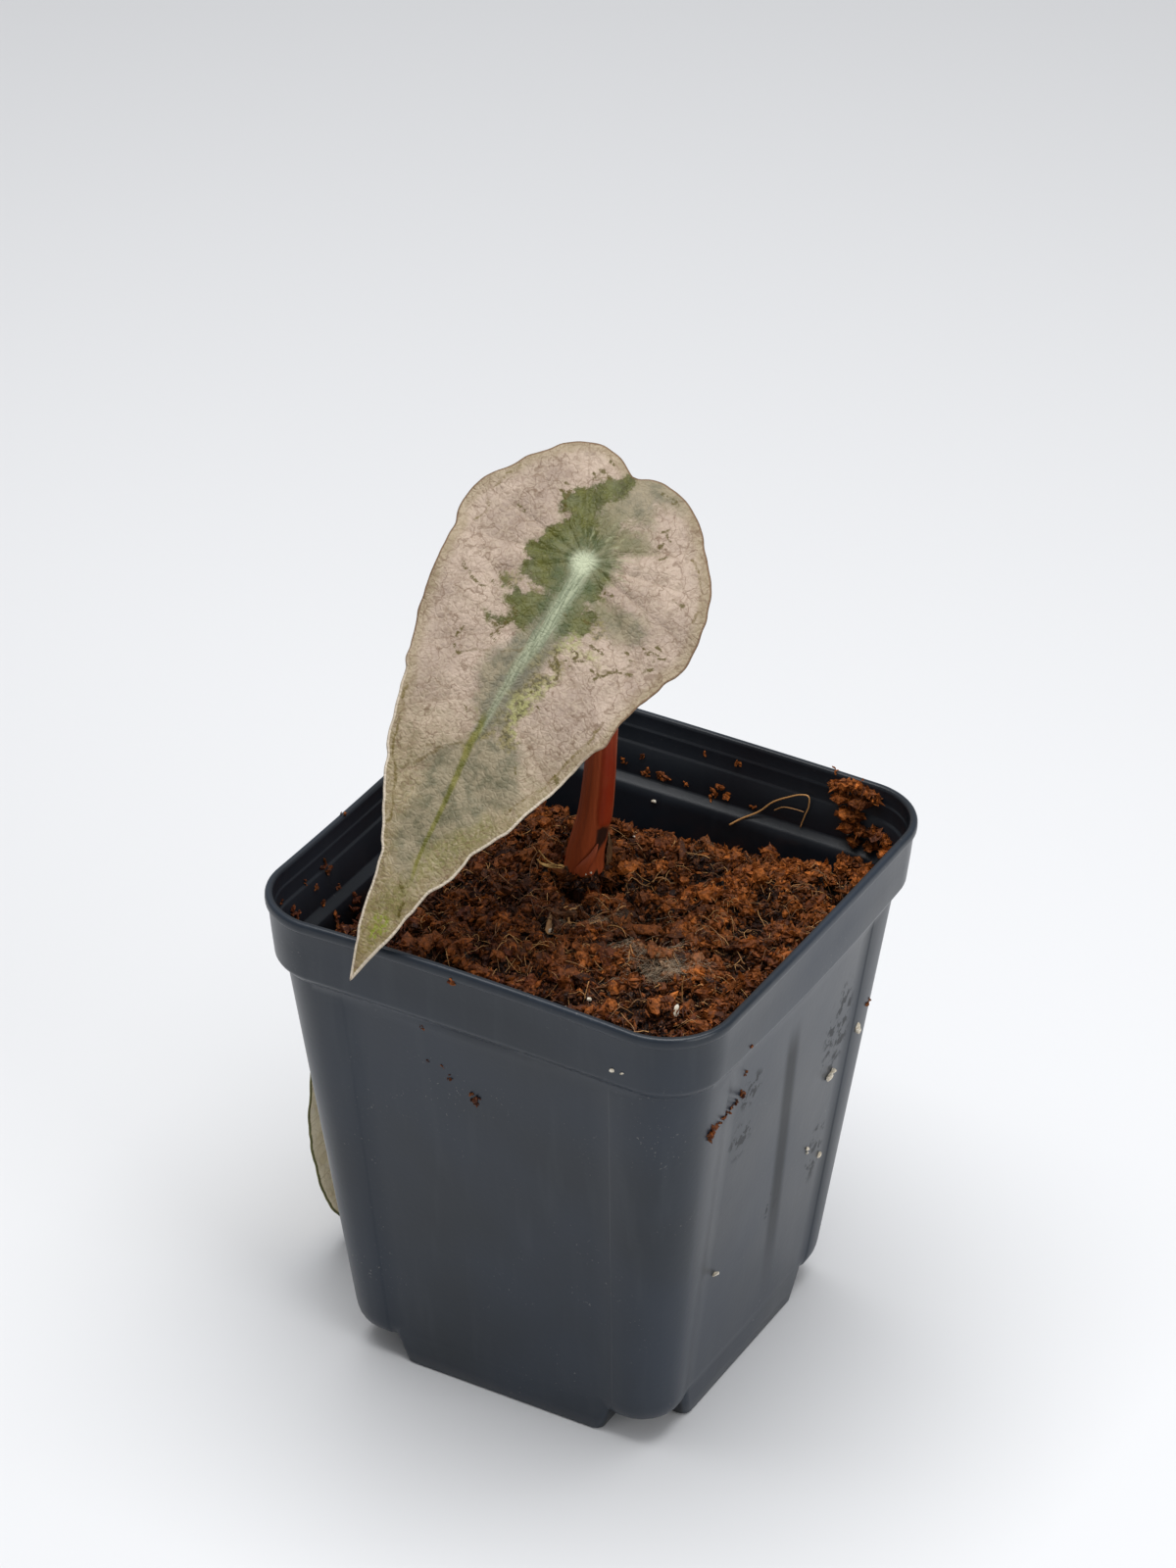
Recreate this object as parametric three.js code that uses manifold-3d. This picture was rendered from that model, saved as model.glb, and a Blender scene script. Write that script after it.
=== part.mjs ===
// Potted peltate-leaved alocasia: a square nursery pot, coir soil, a stem base and two leaves.
// Millimetres, +Z up. The origin is the middle of the pot's base, on the surface it stands on.
// The front of the pot faces -Y and its right side faces +X.
import * as THREE from 'three';
import { mergeVertices } from 'three/addons/utils/BufferGeometryUtils.js';
import Module from 'manifold-3d';

const wasm = await Module();
wasm.setup();

// Pot
const POT_HEIGHT = 98.5;
const POT_HALF = 45;
const WALL = 1.3;
const BODY_TOP = { z: POT_HEIGHT - 14.3, half: 41.6, radius: 10 };
const BODY_BASE = { z: 0, half: 31.6, radius: 6.8 };
const RIM_RADIUS = 12.7;
const CORNER_LIFT = 4.6;
const FOOT_HALF_LENGTH = 20;
const FOOT_FLOOR = 1.4;
const FOOT_FLARE = 0.35;
const FOOT_CHAMFER = 1.6;
const PANEL_SINK = 0.3;
const PANEL_HALF = { top: 26, base: 22.3 };
const RIM_BOW = [0.2, 0.3, -0.5, -1.0];
const STEP_BOW = [1.1, 0, 0, 0.1];
const DRAIN_RADIUS = 2.6;
const DRAIN_OFFSET = 25.2;

// Soil
const SOIL_LEVEL = 87;
const SOIL_RISE = { x: 3.4, y: -4.6, span: 40 };
const SOIL_EDGE_DROP = 6.5;
const SOIL_GAP = 0.4;
const SOIL_STEP = 2.6;
const SOIL_LUMPS = [{ height: 1.1, spacing: 7 }, { height: 1, spacing: 3.2 }];
const SOIL_SHRINK_BACK = 0.45;
const CHIP_COUNT = 150;
const CHIP_SIZE = { min: 2.2, max: 4.8 };
const CHIP_PROUD = 0.28;
const HOLLOW = { x: -5.6, y: 7.2, radius: 4.6, depth: 4.8 };
const CORNER_CLUMP = {
  x: 31.5,
  y: 35.5,
  width: 11,
  depth: 3.2,
  height: 15,
  under: 1.6,
  narrowing: 0.35,
  lean: 1.6,
  count: 26,
  grain: 4.2,
};
const ROOT_LOOP = [
  [11, 38, 79], [15, 39.3, 84], [20, 39.2, 89.5], [27.6, 38.6, 90.5], [26.6, 37.8, 84], [25, 37, 79],
];

// Stem base and leaf stalks
const CROWN = { x: -9.55, y: 13.9, top: 85.7, bottom: 69, across: 4.1, along: 5.9, turn: 106 };
const JOINT_GAP = 0.35;
const SHEATH = { root: 4, sunk: 2.2, thickness: 0.7, clear: 0.55 };
const SHEATH_SCALES = [
  { angle: 20, spread: 50, top: 91.6, lean: 0.3 },
  { angle: 205, spread: 34, top: 87, lean: 3 },
  { angle: 100, spread: 52, top: 90.4, lean: 1 },
];
const STEM_HOLE = [[68.6, 0.45], [80.4, 0.45], [81, 1.3], [84.5, 1.8], [87.5, 4.9], [98, 6]];
const STALK = {
  route: [[-8.55, 11.9, 86.25], [-8.4, 11.95, 89], [-7, 12.5, 97], [-5.9, 12.75, 112], [-5.5, 13.3, 127],
    [-7.4, 14.5, 139]],
  radius: { base: 3.6, top: 2 },
  approach: 4,
  sides: 16,
  steps: 26,
};
const OLD_STALK = {
  route: [[-10.3, 17.1, 86.2], [-8.9, 17.8, 97], [-9.6, 18.3, 106.5], [-20, 18.8, 114], [-36, 19.8, 112],
    [-46.4, 19.8, 103], [-47.2, 19, 96], [-45.2, 17.4, 86], [-42.4, 14.6, 74], [-41.8, 12.4, 63]],
  radius: { base: 1.8, top: 1.25 },
  approach: 2,
  sides: 10,
  steps: 36,
};
const STALK_TAPER = 0.6;
const STALK_FLATNESS = 0.94;

// Blades in their own frames: origin over the stalk, y towards the tip, z out of the upper face.
// Each half's margin runs from the notch between the lobes to the tip.
const BLADE = {
  at: [-7.87, 9.56, 150],
  tip: [-18.17, -51.72, 96],
  across: [-0.966, -0.064, 0.252],
  margins: [
    [[1, -18], [7, -20.1], [13, -18.3], [18.3, -12.6], [23.4, -4.4], [24, 1.6], [22.3, 10.7], [20.5, 20.6],
      [17.1, 30], [14.3, 39.6], [11.1, 49.2], [6.6, 58.1], [4, 67], [2.2, 75.5], [0, 82.3]],
    [[1, -18], [-5, -18.6], [-11, -16.5], [-15.9, -11.6], [-22, -4], [-24.2, 6], [-21.8, 15.7], [-20, 25.5],
      [-17.2, 35.2], [-14.2, 44.8], [-9.9, 53.8], [-6, 62], [-3, 72.5], [0, 82.3]],
  ],
  midrib: [[0, 0], [0.2, 15], [1.2, 26], [1.5, 37], [0, 48], [-0.9, 60], [-0.5, 73], [0, 82.3]],
  length: 82.3,
  half: 24.2,
  stations: { lobe: 20, tip: 24 },
  arch: 4,
  fold: 1.6,
  foldFrom: 25,
  droop: 1.2,
  wave: 0.9,
  wavelength: 24,
};
const OLD_BLADE = {
  at: [-47.5, 10.7, 53.7],
  tip: [-49.4, -3.9, 4.7],
  across: [0.03, 1, -0.29],
  margins: [
    [[0, -14], [6, -15.6], [13, -12.6], [19, -5.5], [21, 4], [20, 15], [16.6, 27], [11.4, 38],
      [5, 47.5], [0, 53]],
    [[0, -14], [-6, -15.4], [-13.4, -12], [-19.4, -4.6], [-21.2, 5], [-20.3, 16], [-18, 27], [-12.3, 38.4],
      [-6.1, 48], [0, 53]],
  ],
  midrib: [[0, 0], [0.6, 15], [0.4, 35], [0, 53]],
  length: 53,
  half: 21.6,
  stations: { lobe: 12, tip: 16 },
  arch: 1.4,
  fold: 0.6,
  foldFrom: 18,
  droop: 2,
  wave: 0.7,
  wavelength: 19,
};
const BLADE_THICKNESS = 0.7;
const FOLD_SOFTNESS = 8;
const WAVE_OFFSET = 6;
const MIDRIB = { depth: 1.5, width: 2.6, lift: 0.3, taper: 0.85 };
const VEIN = { every: 4, ridge: 0.15, quilt: 0.35, rake: 0.7 };
const ACROSS = [0, 0.05, 0.12, 0.27, 0.46, 0.65, 0.84, 1];

const COLOURS = {
  pot: 0x3d4247,
  soil: 0x5a2f1a,
  crown: 0x2e1a12,
  stalk: 0x6e2d18,
  oldStalk: 0x6a4a30,
  blade: 0xb9a596,
  oldBlade: 0xa0968a,
};

// Repeatable random numbers between 0 and 1
function makeRandom(seed) {
  let state = seed;
  return () => {
    state = (state * 1664525 + 1013904223) % 4294967296;
    return state / 4294967296;
  };
}

// Smooth value noise between -1 and 1, one lump per unit
function valueNoise(x, y, seed) {
  const corner = (i, j) => {
    const s = Math.sin(i * 127.1 + j * 311.7 + seed * 74.7) * 43758.5453;
    return 2 * (s - Math.floor(s)) - 1;
  };
  const i = Math.floor(x);
  const j = Math.floor(y);
  const u = THREE.MathUtils.smoothstep(x - i, 0, 1);
  const v = THREE.MathUtils.smoothstep(y - j, 0, 1);
  const low = THREE.MathUtils.lerp(corner(i, j), corner(i + 1, j), u);
  const high = THREE.MathUtils.lerp(corner(i, j + 1), corner(i + 1, j + 1), u);
  return THREE.MathUtils.lerp(low, high, v);
}

function toSolid(geometry) {
  const bare = geometry.clone();
  bare.deleteAttribute('normal');
  bare.deleteAttribute('uv');
  const merged = mergeVertices(bare, 1e-5);
  const mesh = new wasm.Mesh({
    numProp: 3,
    vertProperties: new Float32Array(merged.attributes.position.array),
    triVerts: new Uint32Array(merged.index.array),
  });
  return new wasm.Manifold(mesh);
}

function toGeometry(solid) {
  const mesh = solid.getMesh();
  const geometry = new THREE.BufferGeometry();
  geometry.setAttribute('position', new THREE.BufferAttribute(new Float32Array(mesh.vertProperties), 3));
  geometry.setIndex(new THREE.BufferAttribute(new Uint32Array(mesh.triVerts), 1));
  geometry.computeVertexNormals();
  return geometry;
}

// Closed skin through rings of points, listed anticlockwise seen from the last ring, with a fan on each end
function loft(rings) {
  const count = rings[0].length;
  const points = rings.flat();
  const faces = [];
  for (let k = 0; k + 1 < rings.length; k += 1) {
    for (let i = 0; i < count; i += 1) {
      const a = k * count + i;
      const b = k * count + (i + 1) % count;
      faces.push(a, b, b + count, a, b + count, a + count);
    }
  }
  const addCap = (ring, start, flip) => {
    const middle = new THREE.Vector3();
    ring.forEach((p) => middle.addScaledVector(p, 1 / count));
    points.push(middle);
    for (let i = 0; i < count; i += 1) {
      const a = start + i;
      const b = start + (i + 1) % count;
      faces.push(...(flip ? [points.length - 1, b, a] : [points.length - 1, a, b]));
    }
  };
  addCap(rings[0], 0, true);
  addCap(rings[rings.length - 1], (rings.length - 1) * count, false);
  const geometry = new THREE.BufferGeometry().setFromPoints(points);
  geometry.setIndex(faces);
  return geometry;
}

// One level of the pot: a square with round corners, bowed sides and sunk middle panels
function squareRing({ z, half, radius, bow = [0, 0, 0, 0], panel = 0, sink = 0 }) {
  const ring = [];
  const straight = half - radius;
  const bevel = 0.6;
  const inner = panel > 0 ? panel : straight * 0.8;
  const stops = [-inner - bevel, -inner, -inner / 2, 0, inner / 2, inner, inner + bevel];
  const corners = [[1, 1], [-1, 1], [-1, -1], [1, -1]];
  const normals = [[0, 1], [-1, 0], [0, -1], [1, 0]];
  const bowOfSide = [bow[1], bow[2], bow[3], bow[0]];
  const arcSteps = 6;
  for (let side = 0; side < 4; side += 1) {
    const [cx, cy] = corners[side];
    for (let k = 0; k <= arcSteps; k += 1) {
      const angle = (side + k / arcSteps) * Math.PI / 2;
      const x = cx * straight + radius * Math.cos(angle);
      const y = cy * straight + radius * Math.sin(angle);
      ring.push(new THREE.Vector3(x, y, z));
    }
    const [nx, ny] = normals[side];
    stops.forEach((stop) => {
      const t = stop / Math.max(straight, inner + bevel + 0.2);
      const sunk = Math.abs(stop) <= inner ? sink : 0;
      const out = half + bowOfSide[side] * (1 - t * t) - sunk;
      ring.push(new THREE.Vector3(nx * out - ny * stop, ny * out + nx * stop, z));
    });
  }
  return ring;
}

function bodyAt(z) {
  const t = (z - BODY_BASE.z) / (BODY_TOP.z - BODY_BASE.z);
  return {
    z,
    half: THREE.MathUtils.lerp(BODY_BASE.half, BODY_TOP.half, t),
    radius: THREE.MathUtils.lerp(BODY_BASE.radius, BODY_TOP.radius, t),
    bow: STEP_BOW.map((b) => b * t),
    panel: THREE.MathUtils.lerp(PANEL_HALF.base, PANEL_HALF.top, t),
  };
}

// A level of the collar, by its depth under the rim and its inset from the widest line
function rimLevel(depth, inset) {
  const share = 1 - depth / 20;
  return {
    z: POT_HEIGHT - depth,
    half: POT_HALF - inset,
    radius: RIM_RADIUS - inset,
    bow: RIM_BOW.map((b, i) => THREE.MathUtils.lerp(STEP_BOW[i], b, share)),
  };
}

function potOutside() {
  const lifted = [[0, 2.4], [0.7, 1.0], [2.2, 0.2], [4.4, 0]].map(([rise, inset]) => {
    const level = bodyAt(CORNER_LIFT + rise);
    return { ...level, half: level.half - inset, radius: level.radius - inset / 2, sink: PANEL_SINK };
  });
  const levels = [
    ...lifted,
    { ...bodyAt(BODY_TOP.z - 3), sink: PANEL_SINK },
    bodyAt(BODY_TOP.z),
    rimLevel(13.4, 2.6),
    rimLevel(12, 1.6),
    rimLevel(2.2, 0.5),
    rimLevel(1.8, 0.1),
    rimLevel(0.5, 0),
    rimLevel(0, 0.3),
  ];
  return toSolid(loft(levels.map((level) => squareRing(level))));
}

// The space inside the pot, shrunk by a gap for what fills it
function potInside(gap) {
  const shrink = (level) => ({ ...level, half: level.half - gap, radius: Math.max(level.radius - gap, 1) });
  const wallLevel = (z) => {
    const level = bodyAt(z);
    return { ...level, half: level.half - WALL - PANEL_SINK, radius: level.radius - WALL };
  };
  const levels = [
    wallLevel(CORNER_LIFT + WALL + gap),
    wallLevel(BODY_TOP.z - 1),
    rimLevel(13.5, 4.6),
    rimLevel(12.1, 3.0),
    rimLevel(6.4, 2.3),
    rimLevel(6.0, 1.95),
    rimLevel(3.2, 1.9),
    rimLevel(2.8, 1.6),
    rimLevel(0.4, 1.5),
    { ...rimLevel(0, 1.3), z: POT_HEIGHT + 1 },
  ].map(shrink);
  return toSolid(loft(levels.map((level) => squareRing({ ...level, panel: 0 }))));
}

// A bar across the base: its ends are the feet under two opposite sides
function footBar(alongX, inset, floor) {
  const ringAt = (z) => {
    const reach = bodyAt(z).half - PANEL_SINK - inset;
    const width = FOOT_HALF_LENGTH - inset + FOOT_FLARE * z;
    const cut = FOOT_CHAMFER;
    const outline = [[reach, -width + cut], [reach, width - cut], [reach - cut, width],
      [-reach + cut, width], [-reach, width - cut], [-reach, -width + cut],
      [-reach + cut, -width], [reach - cut, -width]];
    return outline.map(([u, v]) => (alongX ? new THREE.Vector3(u, v, z) : new THREE.Vector3(-v, u, z)));
  };
  return toSolid(loft([ringAt(floor), ringAt(CORNER_LIFT + WALL + 0.6)]));
}

function drainHole(x, y) {
  const hole = new THREE.CylinderGeometry(DRAIN_RADIUS, DRAIN_RADIUS, 8, 20);
  hole.rotateX(Math.PI / 2);
  hole.translate(x, y, CORNER_LIFT);
  return toSolid(hole);
}

function potSolid() {
  let pot = potOutside().add(footBar(true, 0, 0)).add(footBar(false, 0, 0));
  pot = pot.subtract(potInside(0));
  pot = pot.subtract(footBar(true, WALL, FOOT_FLOOR)).subtract(footBar(false, WALL, FOOT_FLOOR));
  [[1, 1], [-1, 1], [-1, -1], [1, -1]].forEach(([sx, sy]) => {
    pot = pot.subtract(drainHole(sx * DRAIN_OFFSET, sy * DRAIN_OFFSET));
  });
  return pot;
}

function soilHeight(x, y) {
  const slope = (SOIL_RISE.x * x + SOIL_RISE.y * y) / SOIL_RISE.span;
  const edge = Math.pow(Math.max(Math.abs(x), Math.abs(y)) / SOIL_RISE.span, 8);
  const sunk = 1 + SOIL_SHRINK_BACK * THREE.MathUtils.clamp((y - x) / SOIL_RISE.span, -1, 1);
  let lumps = 0;
  SOIL_LUMPS.forEach(({ height, spacing }, k) => {
    lumps += height * valueNoise(x / spacing, y / spacing, k + 1);
  });
  const toHollow = Math.hypot(x - HOLLOW.x, y - HOLLOW.y) / HOLLOW.radius;
  const hollow = HOLLOW.depth * Math.exp(-toHollow * toHollow);
  return SOIL_LEVEL + slope - SOIL_EDGE_DROP * edge * sunk + lumps - hollow;
}

// A block under the crumbly surface, wider than the pot so that the pot's inside can trim it
function soilBlock() {
  const half = POT_HALF + 2;
  const count = Math.round((2 * half) / SOIL_STEP);
  const bottom = 0;
  const rows = count + 1;
  const at = (i) => -half + (2 * half * i) / count;
  const points = [];
  for (let j = 0; j < rows; j += 1) {
    for (let i = 0; i < rows; i += 1) {
      points.push(new THREE.Vector3(at(i), at(j), soilHeight(at(i), at(j))));
    }
  }
  const top = points.length;
  const border = [];
  for (let i = 0; i < count; i += 1) border.push(i);
  for (let j = 0; j < count; j += 1) border.push(j * rows + count);
  for (let i = count; i > 0; i -= 1) border.push(count * rows + i);
  for (let j = count; j > 0; j -= 1) border.push(j * rows);
  border.forEach((k) => points.push(new THREE.Vector3(points[k].x, points[k].y, bottom)));
  points.push(new THREE.Vector3(0, 0, bottom));
  const faces = [];
  for (let j = 0; j < count; j += 1) {
    for (let i = 0; i < count; i += 1) {
      const a = j * rows + i;
      faces.push(a, a + 1, a + rows + 1, a, a + rows + 1, a + rows);
    }
  }
  border.forEach((a, n) => {
    const next = (n + 1) % border.length;
    faces.push(a, top + n, top + next, a, top + next, border[next]);
    faces.push(points.length - 1, top + next, top + n);
  });
  const geometry = new THREE.BufferGeometry().setFromPoints(points);
  geometry.setIndex(faces);
  return toSolid(geometry);
}

// One coir chip: a flattened eight-sided grain
function chip(random, x, y, z, size) {
  const grain = new THREE.OctahedronGeometry(size / 2, 0);
  grain.scale(1 + 0.5 * random(), 0.7 + 0.3 * random(), 0.6 + 0.3 * random());
  grain.rotateX(random() * Math.PI);
  grain.rotateZ(random() * Math.PI);
  grain.translate(x, y, z);
  return toSolid(grain);
}

function surfaceChips() {
  const random = makeRandom(7);
  const reach = SOIL_RISE.span - 3;
  const chips = [];
  while (chips.length < CHIP_COUNT) {
    const x = (2 * random() - 1) * reach;
    const y = (2 * random() - 1) * reach;
    const size = THREE.MathUtils.lerp(CHIP_SIZE.min, CHIP_SIZE.max, random() ** 2);
    const clear = Math.hypot(x - CROWN.x, y - CROWN.y) > CROWN.along + size;
    if (clear) chips.push(chip(random, x, y, soilHeight(x, y) + CHIP_PROUD * size, size));
  }
  return chips;
}

// Coir pushed up the back right corner of the pot
function cornerClump() {
  const random = makeRandom(21);
  const grains = [];
  for (let k = 0; k < CORNER_CLUMP.count; k += 1) {
    const rise = k / (CORNER_CLUMP.count - 1);
    const width = CORNER_CLUMP.width * (1 - CORNER_CLUMP.narrowing * rise);
    const x = CORNER_CLUMP.x + (random() - 0.5) * width;
    const y = CORNER_CLUMP.y + CORNER_CLUMP.lean * rise + (random() - 0.5) * CORNER_CLUMP.depth;
    const z = POT_HEIGHT - CORNER_CLUMP.under - CORNER_CLUMP.height * (1 - rise);
    grains.push(chip(random, x, y, z, CORNER_CLUMP.grain));
  }
  return grains;
}

function rootLoop() {
  const path = new THREE.CatmullRomCurve3(ROOT_LOOP.map((p) => new THREE.Vector3(...p)));
  return toSolid(sweep(path, 14, 5, () => [0.35, 0.35]));
}

function crownRing(across, along, z, count = 20) {
  const turn = THREE.MathUtils.degToRad(CROWN.turn);
  return Array.from({ length: count }, (_, i) => {
    const angle = (i / count) * 2 * Math.PI;
    const u = along * Math.cos(angle);
    const v = across * Math.sin(angle);
    return new THREE.Vector3(
      CROWN.x + u * Math.cos(turn) - v * Math.sin(turn),
      CROWN.y + u * Math.sin(turn) + v * Math.cos(turn),
      z,
    );
  });
}

function soilSolid() {
  const trim = potInside(SOIL_GAP).add(footBar(true, WALL + SOIL_GAP, FOOT_FLOOR + SOIL_GAP))
    .add(footBar(false, WALL + SOIL_GAP, FOOT_FLOOR + SOIL_GAP));
  let soil = soilBlock();
  [...surfaceChips(), ...cornerClump()].forEach((grain) => {
    soil = soil.add(grain);
  });
  soil = soil.add(rootLoop()).intersect(trim);
  const hole = STEM_HOLE.map(([z, gap]) => crownRing(CROWN.across + gap, CROWN.along + gap, z));
  soil = soil.subtract(toSolid(loft(hole)));
  const bodies = soil.decompose().sort((a, b) => b.volume() - a.volume());
  return bodies[0];
}

// Skin along a path, with an elliptical section whose half-widths come from the share of the way
function sweep(path, steps, sides, sectionAt) {
  const frames = path.computeFrenetFrames(steps);
  const rings = [];
  for (let k = 0; k <= steps; k += 1) {
    const share = k / steps;
    const centre = path.getPointAt(share);
    const [a, b] = sectionAt(share);
    rings.push(Array.from({ length: sides }, (_, i) => {
      const angle = (i / sides) * 2 * Math.PI;
      return centre.clone()
        .addScaledVector(frames.normals[k], a * Math.cos(angle))
        .addScaledVector(frames.binormals[k], b * Math.sin(angle));
    }));
  }
  return loft(rings);
}

// Stem base: a short stub with three dried sheath scales standing round the stalks
function crownSolid() {
  const stub = [[CROWN.bottom, 0.6], [CROWN.bottom + 4, 0.92], [CROWN.top - 5, 1], [CROWN.top, 0.9]];
  const rings = stub.map(([z, share]) => crownRing(CROWN.across * share, CROWN.along * share, z));
  let crown = toSolid(loft(rings));
  SHEATH_SCALES.forEach((scale) => {
    crown = crown.add(sheathScale(scale));
  });
  return crown;
}

// A pointed curved flap, rooted in the stub and leaning outwards towards its tip
function sheathScale({ angle, spread, top, lean }) {
  const middle = THREE.MathUtils.degToRad(angle);
  const levels = 6;
  const across = 6;
  const faceAt = (skin) => Array.from({ length: levels + 1 }, (_, k) => {
    const share = k / levels;
    const halfSpread = THREE.MathUtils.degToRad(spread) * (1 - 0.8 * share ** 2);
    const z = THREE.MathUtils.lerp(CROWN.top - SHEATH.root, top, share);
    return Array.from({ length: across + 1 }, (__, i) => {
      const swing = middle + halfSpread * ((2 * i) / across - 1);
      const inStub = SHEATH.sunk * Math.max(0, 1 - 2 * share);
      const radius = clearRadius(swing) + lean * share ** 3 - inStub + skin;
      return new THREE.Vector3(CROWN.x + radius * Math.cos(swing), CROWN.y + radius * Math.sin(swing), z);
    });
  });
  return toSolid(slab(faceAt(SHEATH.thickness), faceAt(0)));
}

// Closed plate between two grids of points, the first seen from outside with its rows going up
function slab(front, back) {
  const rows = front.length;
  const columns = front[0].length;
  const points = [...front.flat(), ...back.flat()];
  const faces = [];
  const at = (row, column) => row * columns + column;
  const other = rows * columns;
  for (let r = 0; r + 1 < rows; r += 1) {
    for (let c = 0; c + 1 < columns; c += 1) {
      const [a, b, d, e] = [at(r, c), at(r, c + 1), at(r + 1, c + 1), at(r + 1, c)];
      faces.push(a, b, d, a, d, e);
      faces.push(a + other, d + other, b + other, a + other, e + other, d + other);
    }
  }
  const border = [];
  for (let c = 0; c + 1 < columns; c += 1) border.push(at(0, c));
  for (let r = 0; r + 1 < rows; r += 1) border.push(at(r, columns - 1));
  for (let c = columns - 1; c > 0; c -= 1) border.push(at(rows - 1, c));
  for (let r = rows - 1; r > 0; r -= 1) border.push(at(r, 0));
  border.forEach((a, n) => {
    const b = border[(n + 1) % border.length];
    faces.push(b, a, a + other, b, a + other, b + other);
  });
  const geometry = new THREE.BufferGeometry().setFromPoints(points);
  geometry.setIndex(faces);
  return geometry;
}

// Distance from the crown's middle to just outside both stalks, in one direction
function clearRadius(swing) {
  const turn = THREE.MathUtils.degToRad(CROWN.turn);
  const a = CROWN.along + SHEATH.clear;
  const b = CROWN.across + SHEATH.clear;
  const angle = swing - turn;
  return (a * b) / Math.hypot(b * Math.cos(angle), a * Math.sin(angle));
}

// A leaf stalk that meets its blade square on, a joint gap under the midrib's root
function stalkSolid(stalk, leaf) {
  const { origin, outward } = bladeFrame(leaf);
  const end = origin.addScaledVector(outward, -(BLADE_THICKNESS + MIDRIB.depth + JOINT_GAP));
  const approach = end.clone().addScaledVector(outward, -stalk.approach);
  const route = [...stalk.route.map((p) => new THREE.Vector3(...p)), approach, end];
  const path = new THREE.CatmullRomCurve3(route, false, 'centripetal');
  return sweep(path, stalk.steps, stalk.sides, (share) => {
    const size = THREE.MathUtils.lerp(stalk.radius.base, stalk.radius.top, share ** STALK_TAPER);
    return [size, size * STALK_FLATNESS];
  });
}

// Height of a blade's middle surface over its own plane
function bladeHeight(leaf, x, y) {
  const along = y / leaf.length;
  const arch = 4 * leaf.arch * along * (1 - along);
  const low = 1 / (1 + Math.exp((leaf.foldFrom - y) / FOLD_SOFTNESS));
  const side = Math.abs(x) / leaf.half;
  const fold = leaf.fold * low * (2 * side) ** 1.5;
  const droop = leaf.droop * (1 - low) * side ** 2;
  const phase = (2 * Math.PI * (y - WAVE_OFFSET * Math.sign(x))) / leaf.wavelength;
  const wave = leaf.wave * side ** 2 * Math.sin(phase);
  return arch + fold - droop + wave;
}

// Points of one half: for each station a spine point on the midrib and a point on the margin
function bladeStations(leaf, marginPoints) {
  const flat = marginPoints.map(([x, y]) => new THREE.Vector3(x, y, 0));
  const margin = new THREE.CatmullRomCurve3(flat, false, 'centripetal');
  const midrib = new THREE.SplineCurve(leaf.midrib.map(([x, y]) => new THREE.Vector2(x, y)));
  const { length, stations: count } = leaf;
  const rakeAt = (u) => {
    const p = margin.getPointAt(u);
    return p.y - VEIN.rake * Math.abs(p.x);
  };
  const findRake = (target, from) => {
    let low = from;
    let high = 1;
    for (let k = 0; k < 40; k += 1) {
      const middle = (low + high) / 2;
      if (rakeAt(middle) < target) low = middle;
      else high = middle;
    }
    return high;
  };
  const firstAnterior = findRake(0, 0.2);
  const stations = [];
  for (let k = 0; k < count.lobe; k += 1) {
    const p = margin.getPointAt((firstAnterior * k) / count.lobe);
    stations.push({ spine: new THREE.Vector2(0, 0), margin: new THREE.Vector2(p.x, p.y) });
  }
  for (let k = 0; k <= count.tip; k += 1) {
    const target = (length * k) / count.tip;
    const p = k === count.tip ? margin.getPoint(1) : margin.getPointAt(findRake(target, firstAnterior));
    const inner = k > 0 && k < count.tip;
    const spine = inner ? midrib.getPoint(midribShare(midrib, target)) : new THREE.Vector2(0, target);
    stations.push({ spine, margin: new THREE.Vector2(p.x, p.y) });
  }
  return stations;
}

function midribShare(midrib, y) {
  let low = 0;
  let high = 1;
  for (let k = 0; k < 40; k += 1) {
    const middle = (low + high) / 2;
    if (midrib.getPoint(middle).y < y) low = middle;
    else high = middle;
  }
  return high;
}

function distanceToMidrib(leaf, x, y) {
  const midrib = new THREE.SplineCurve(leaf.midrib.map(([mx, my]) => new THREE.Vector2(mx, my)));
  if (y <= 0) return Math.hypot(x, y);
  return Math.abs(x - midrib.getPoint(midribShare(midrib, Math.min(y, leaf.length))).x);
}

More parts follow.
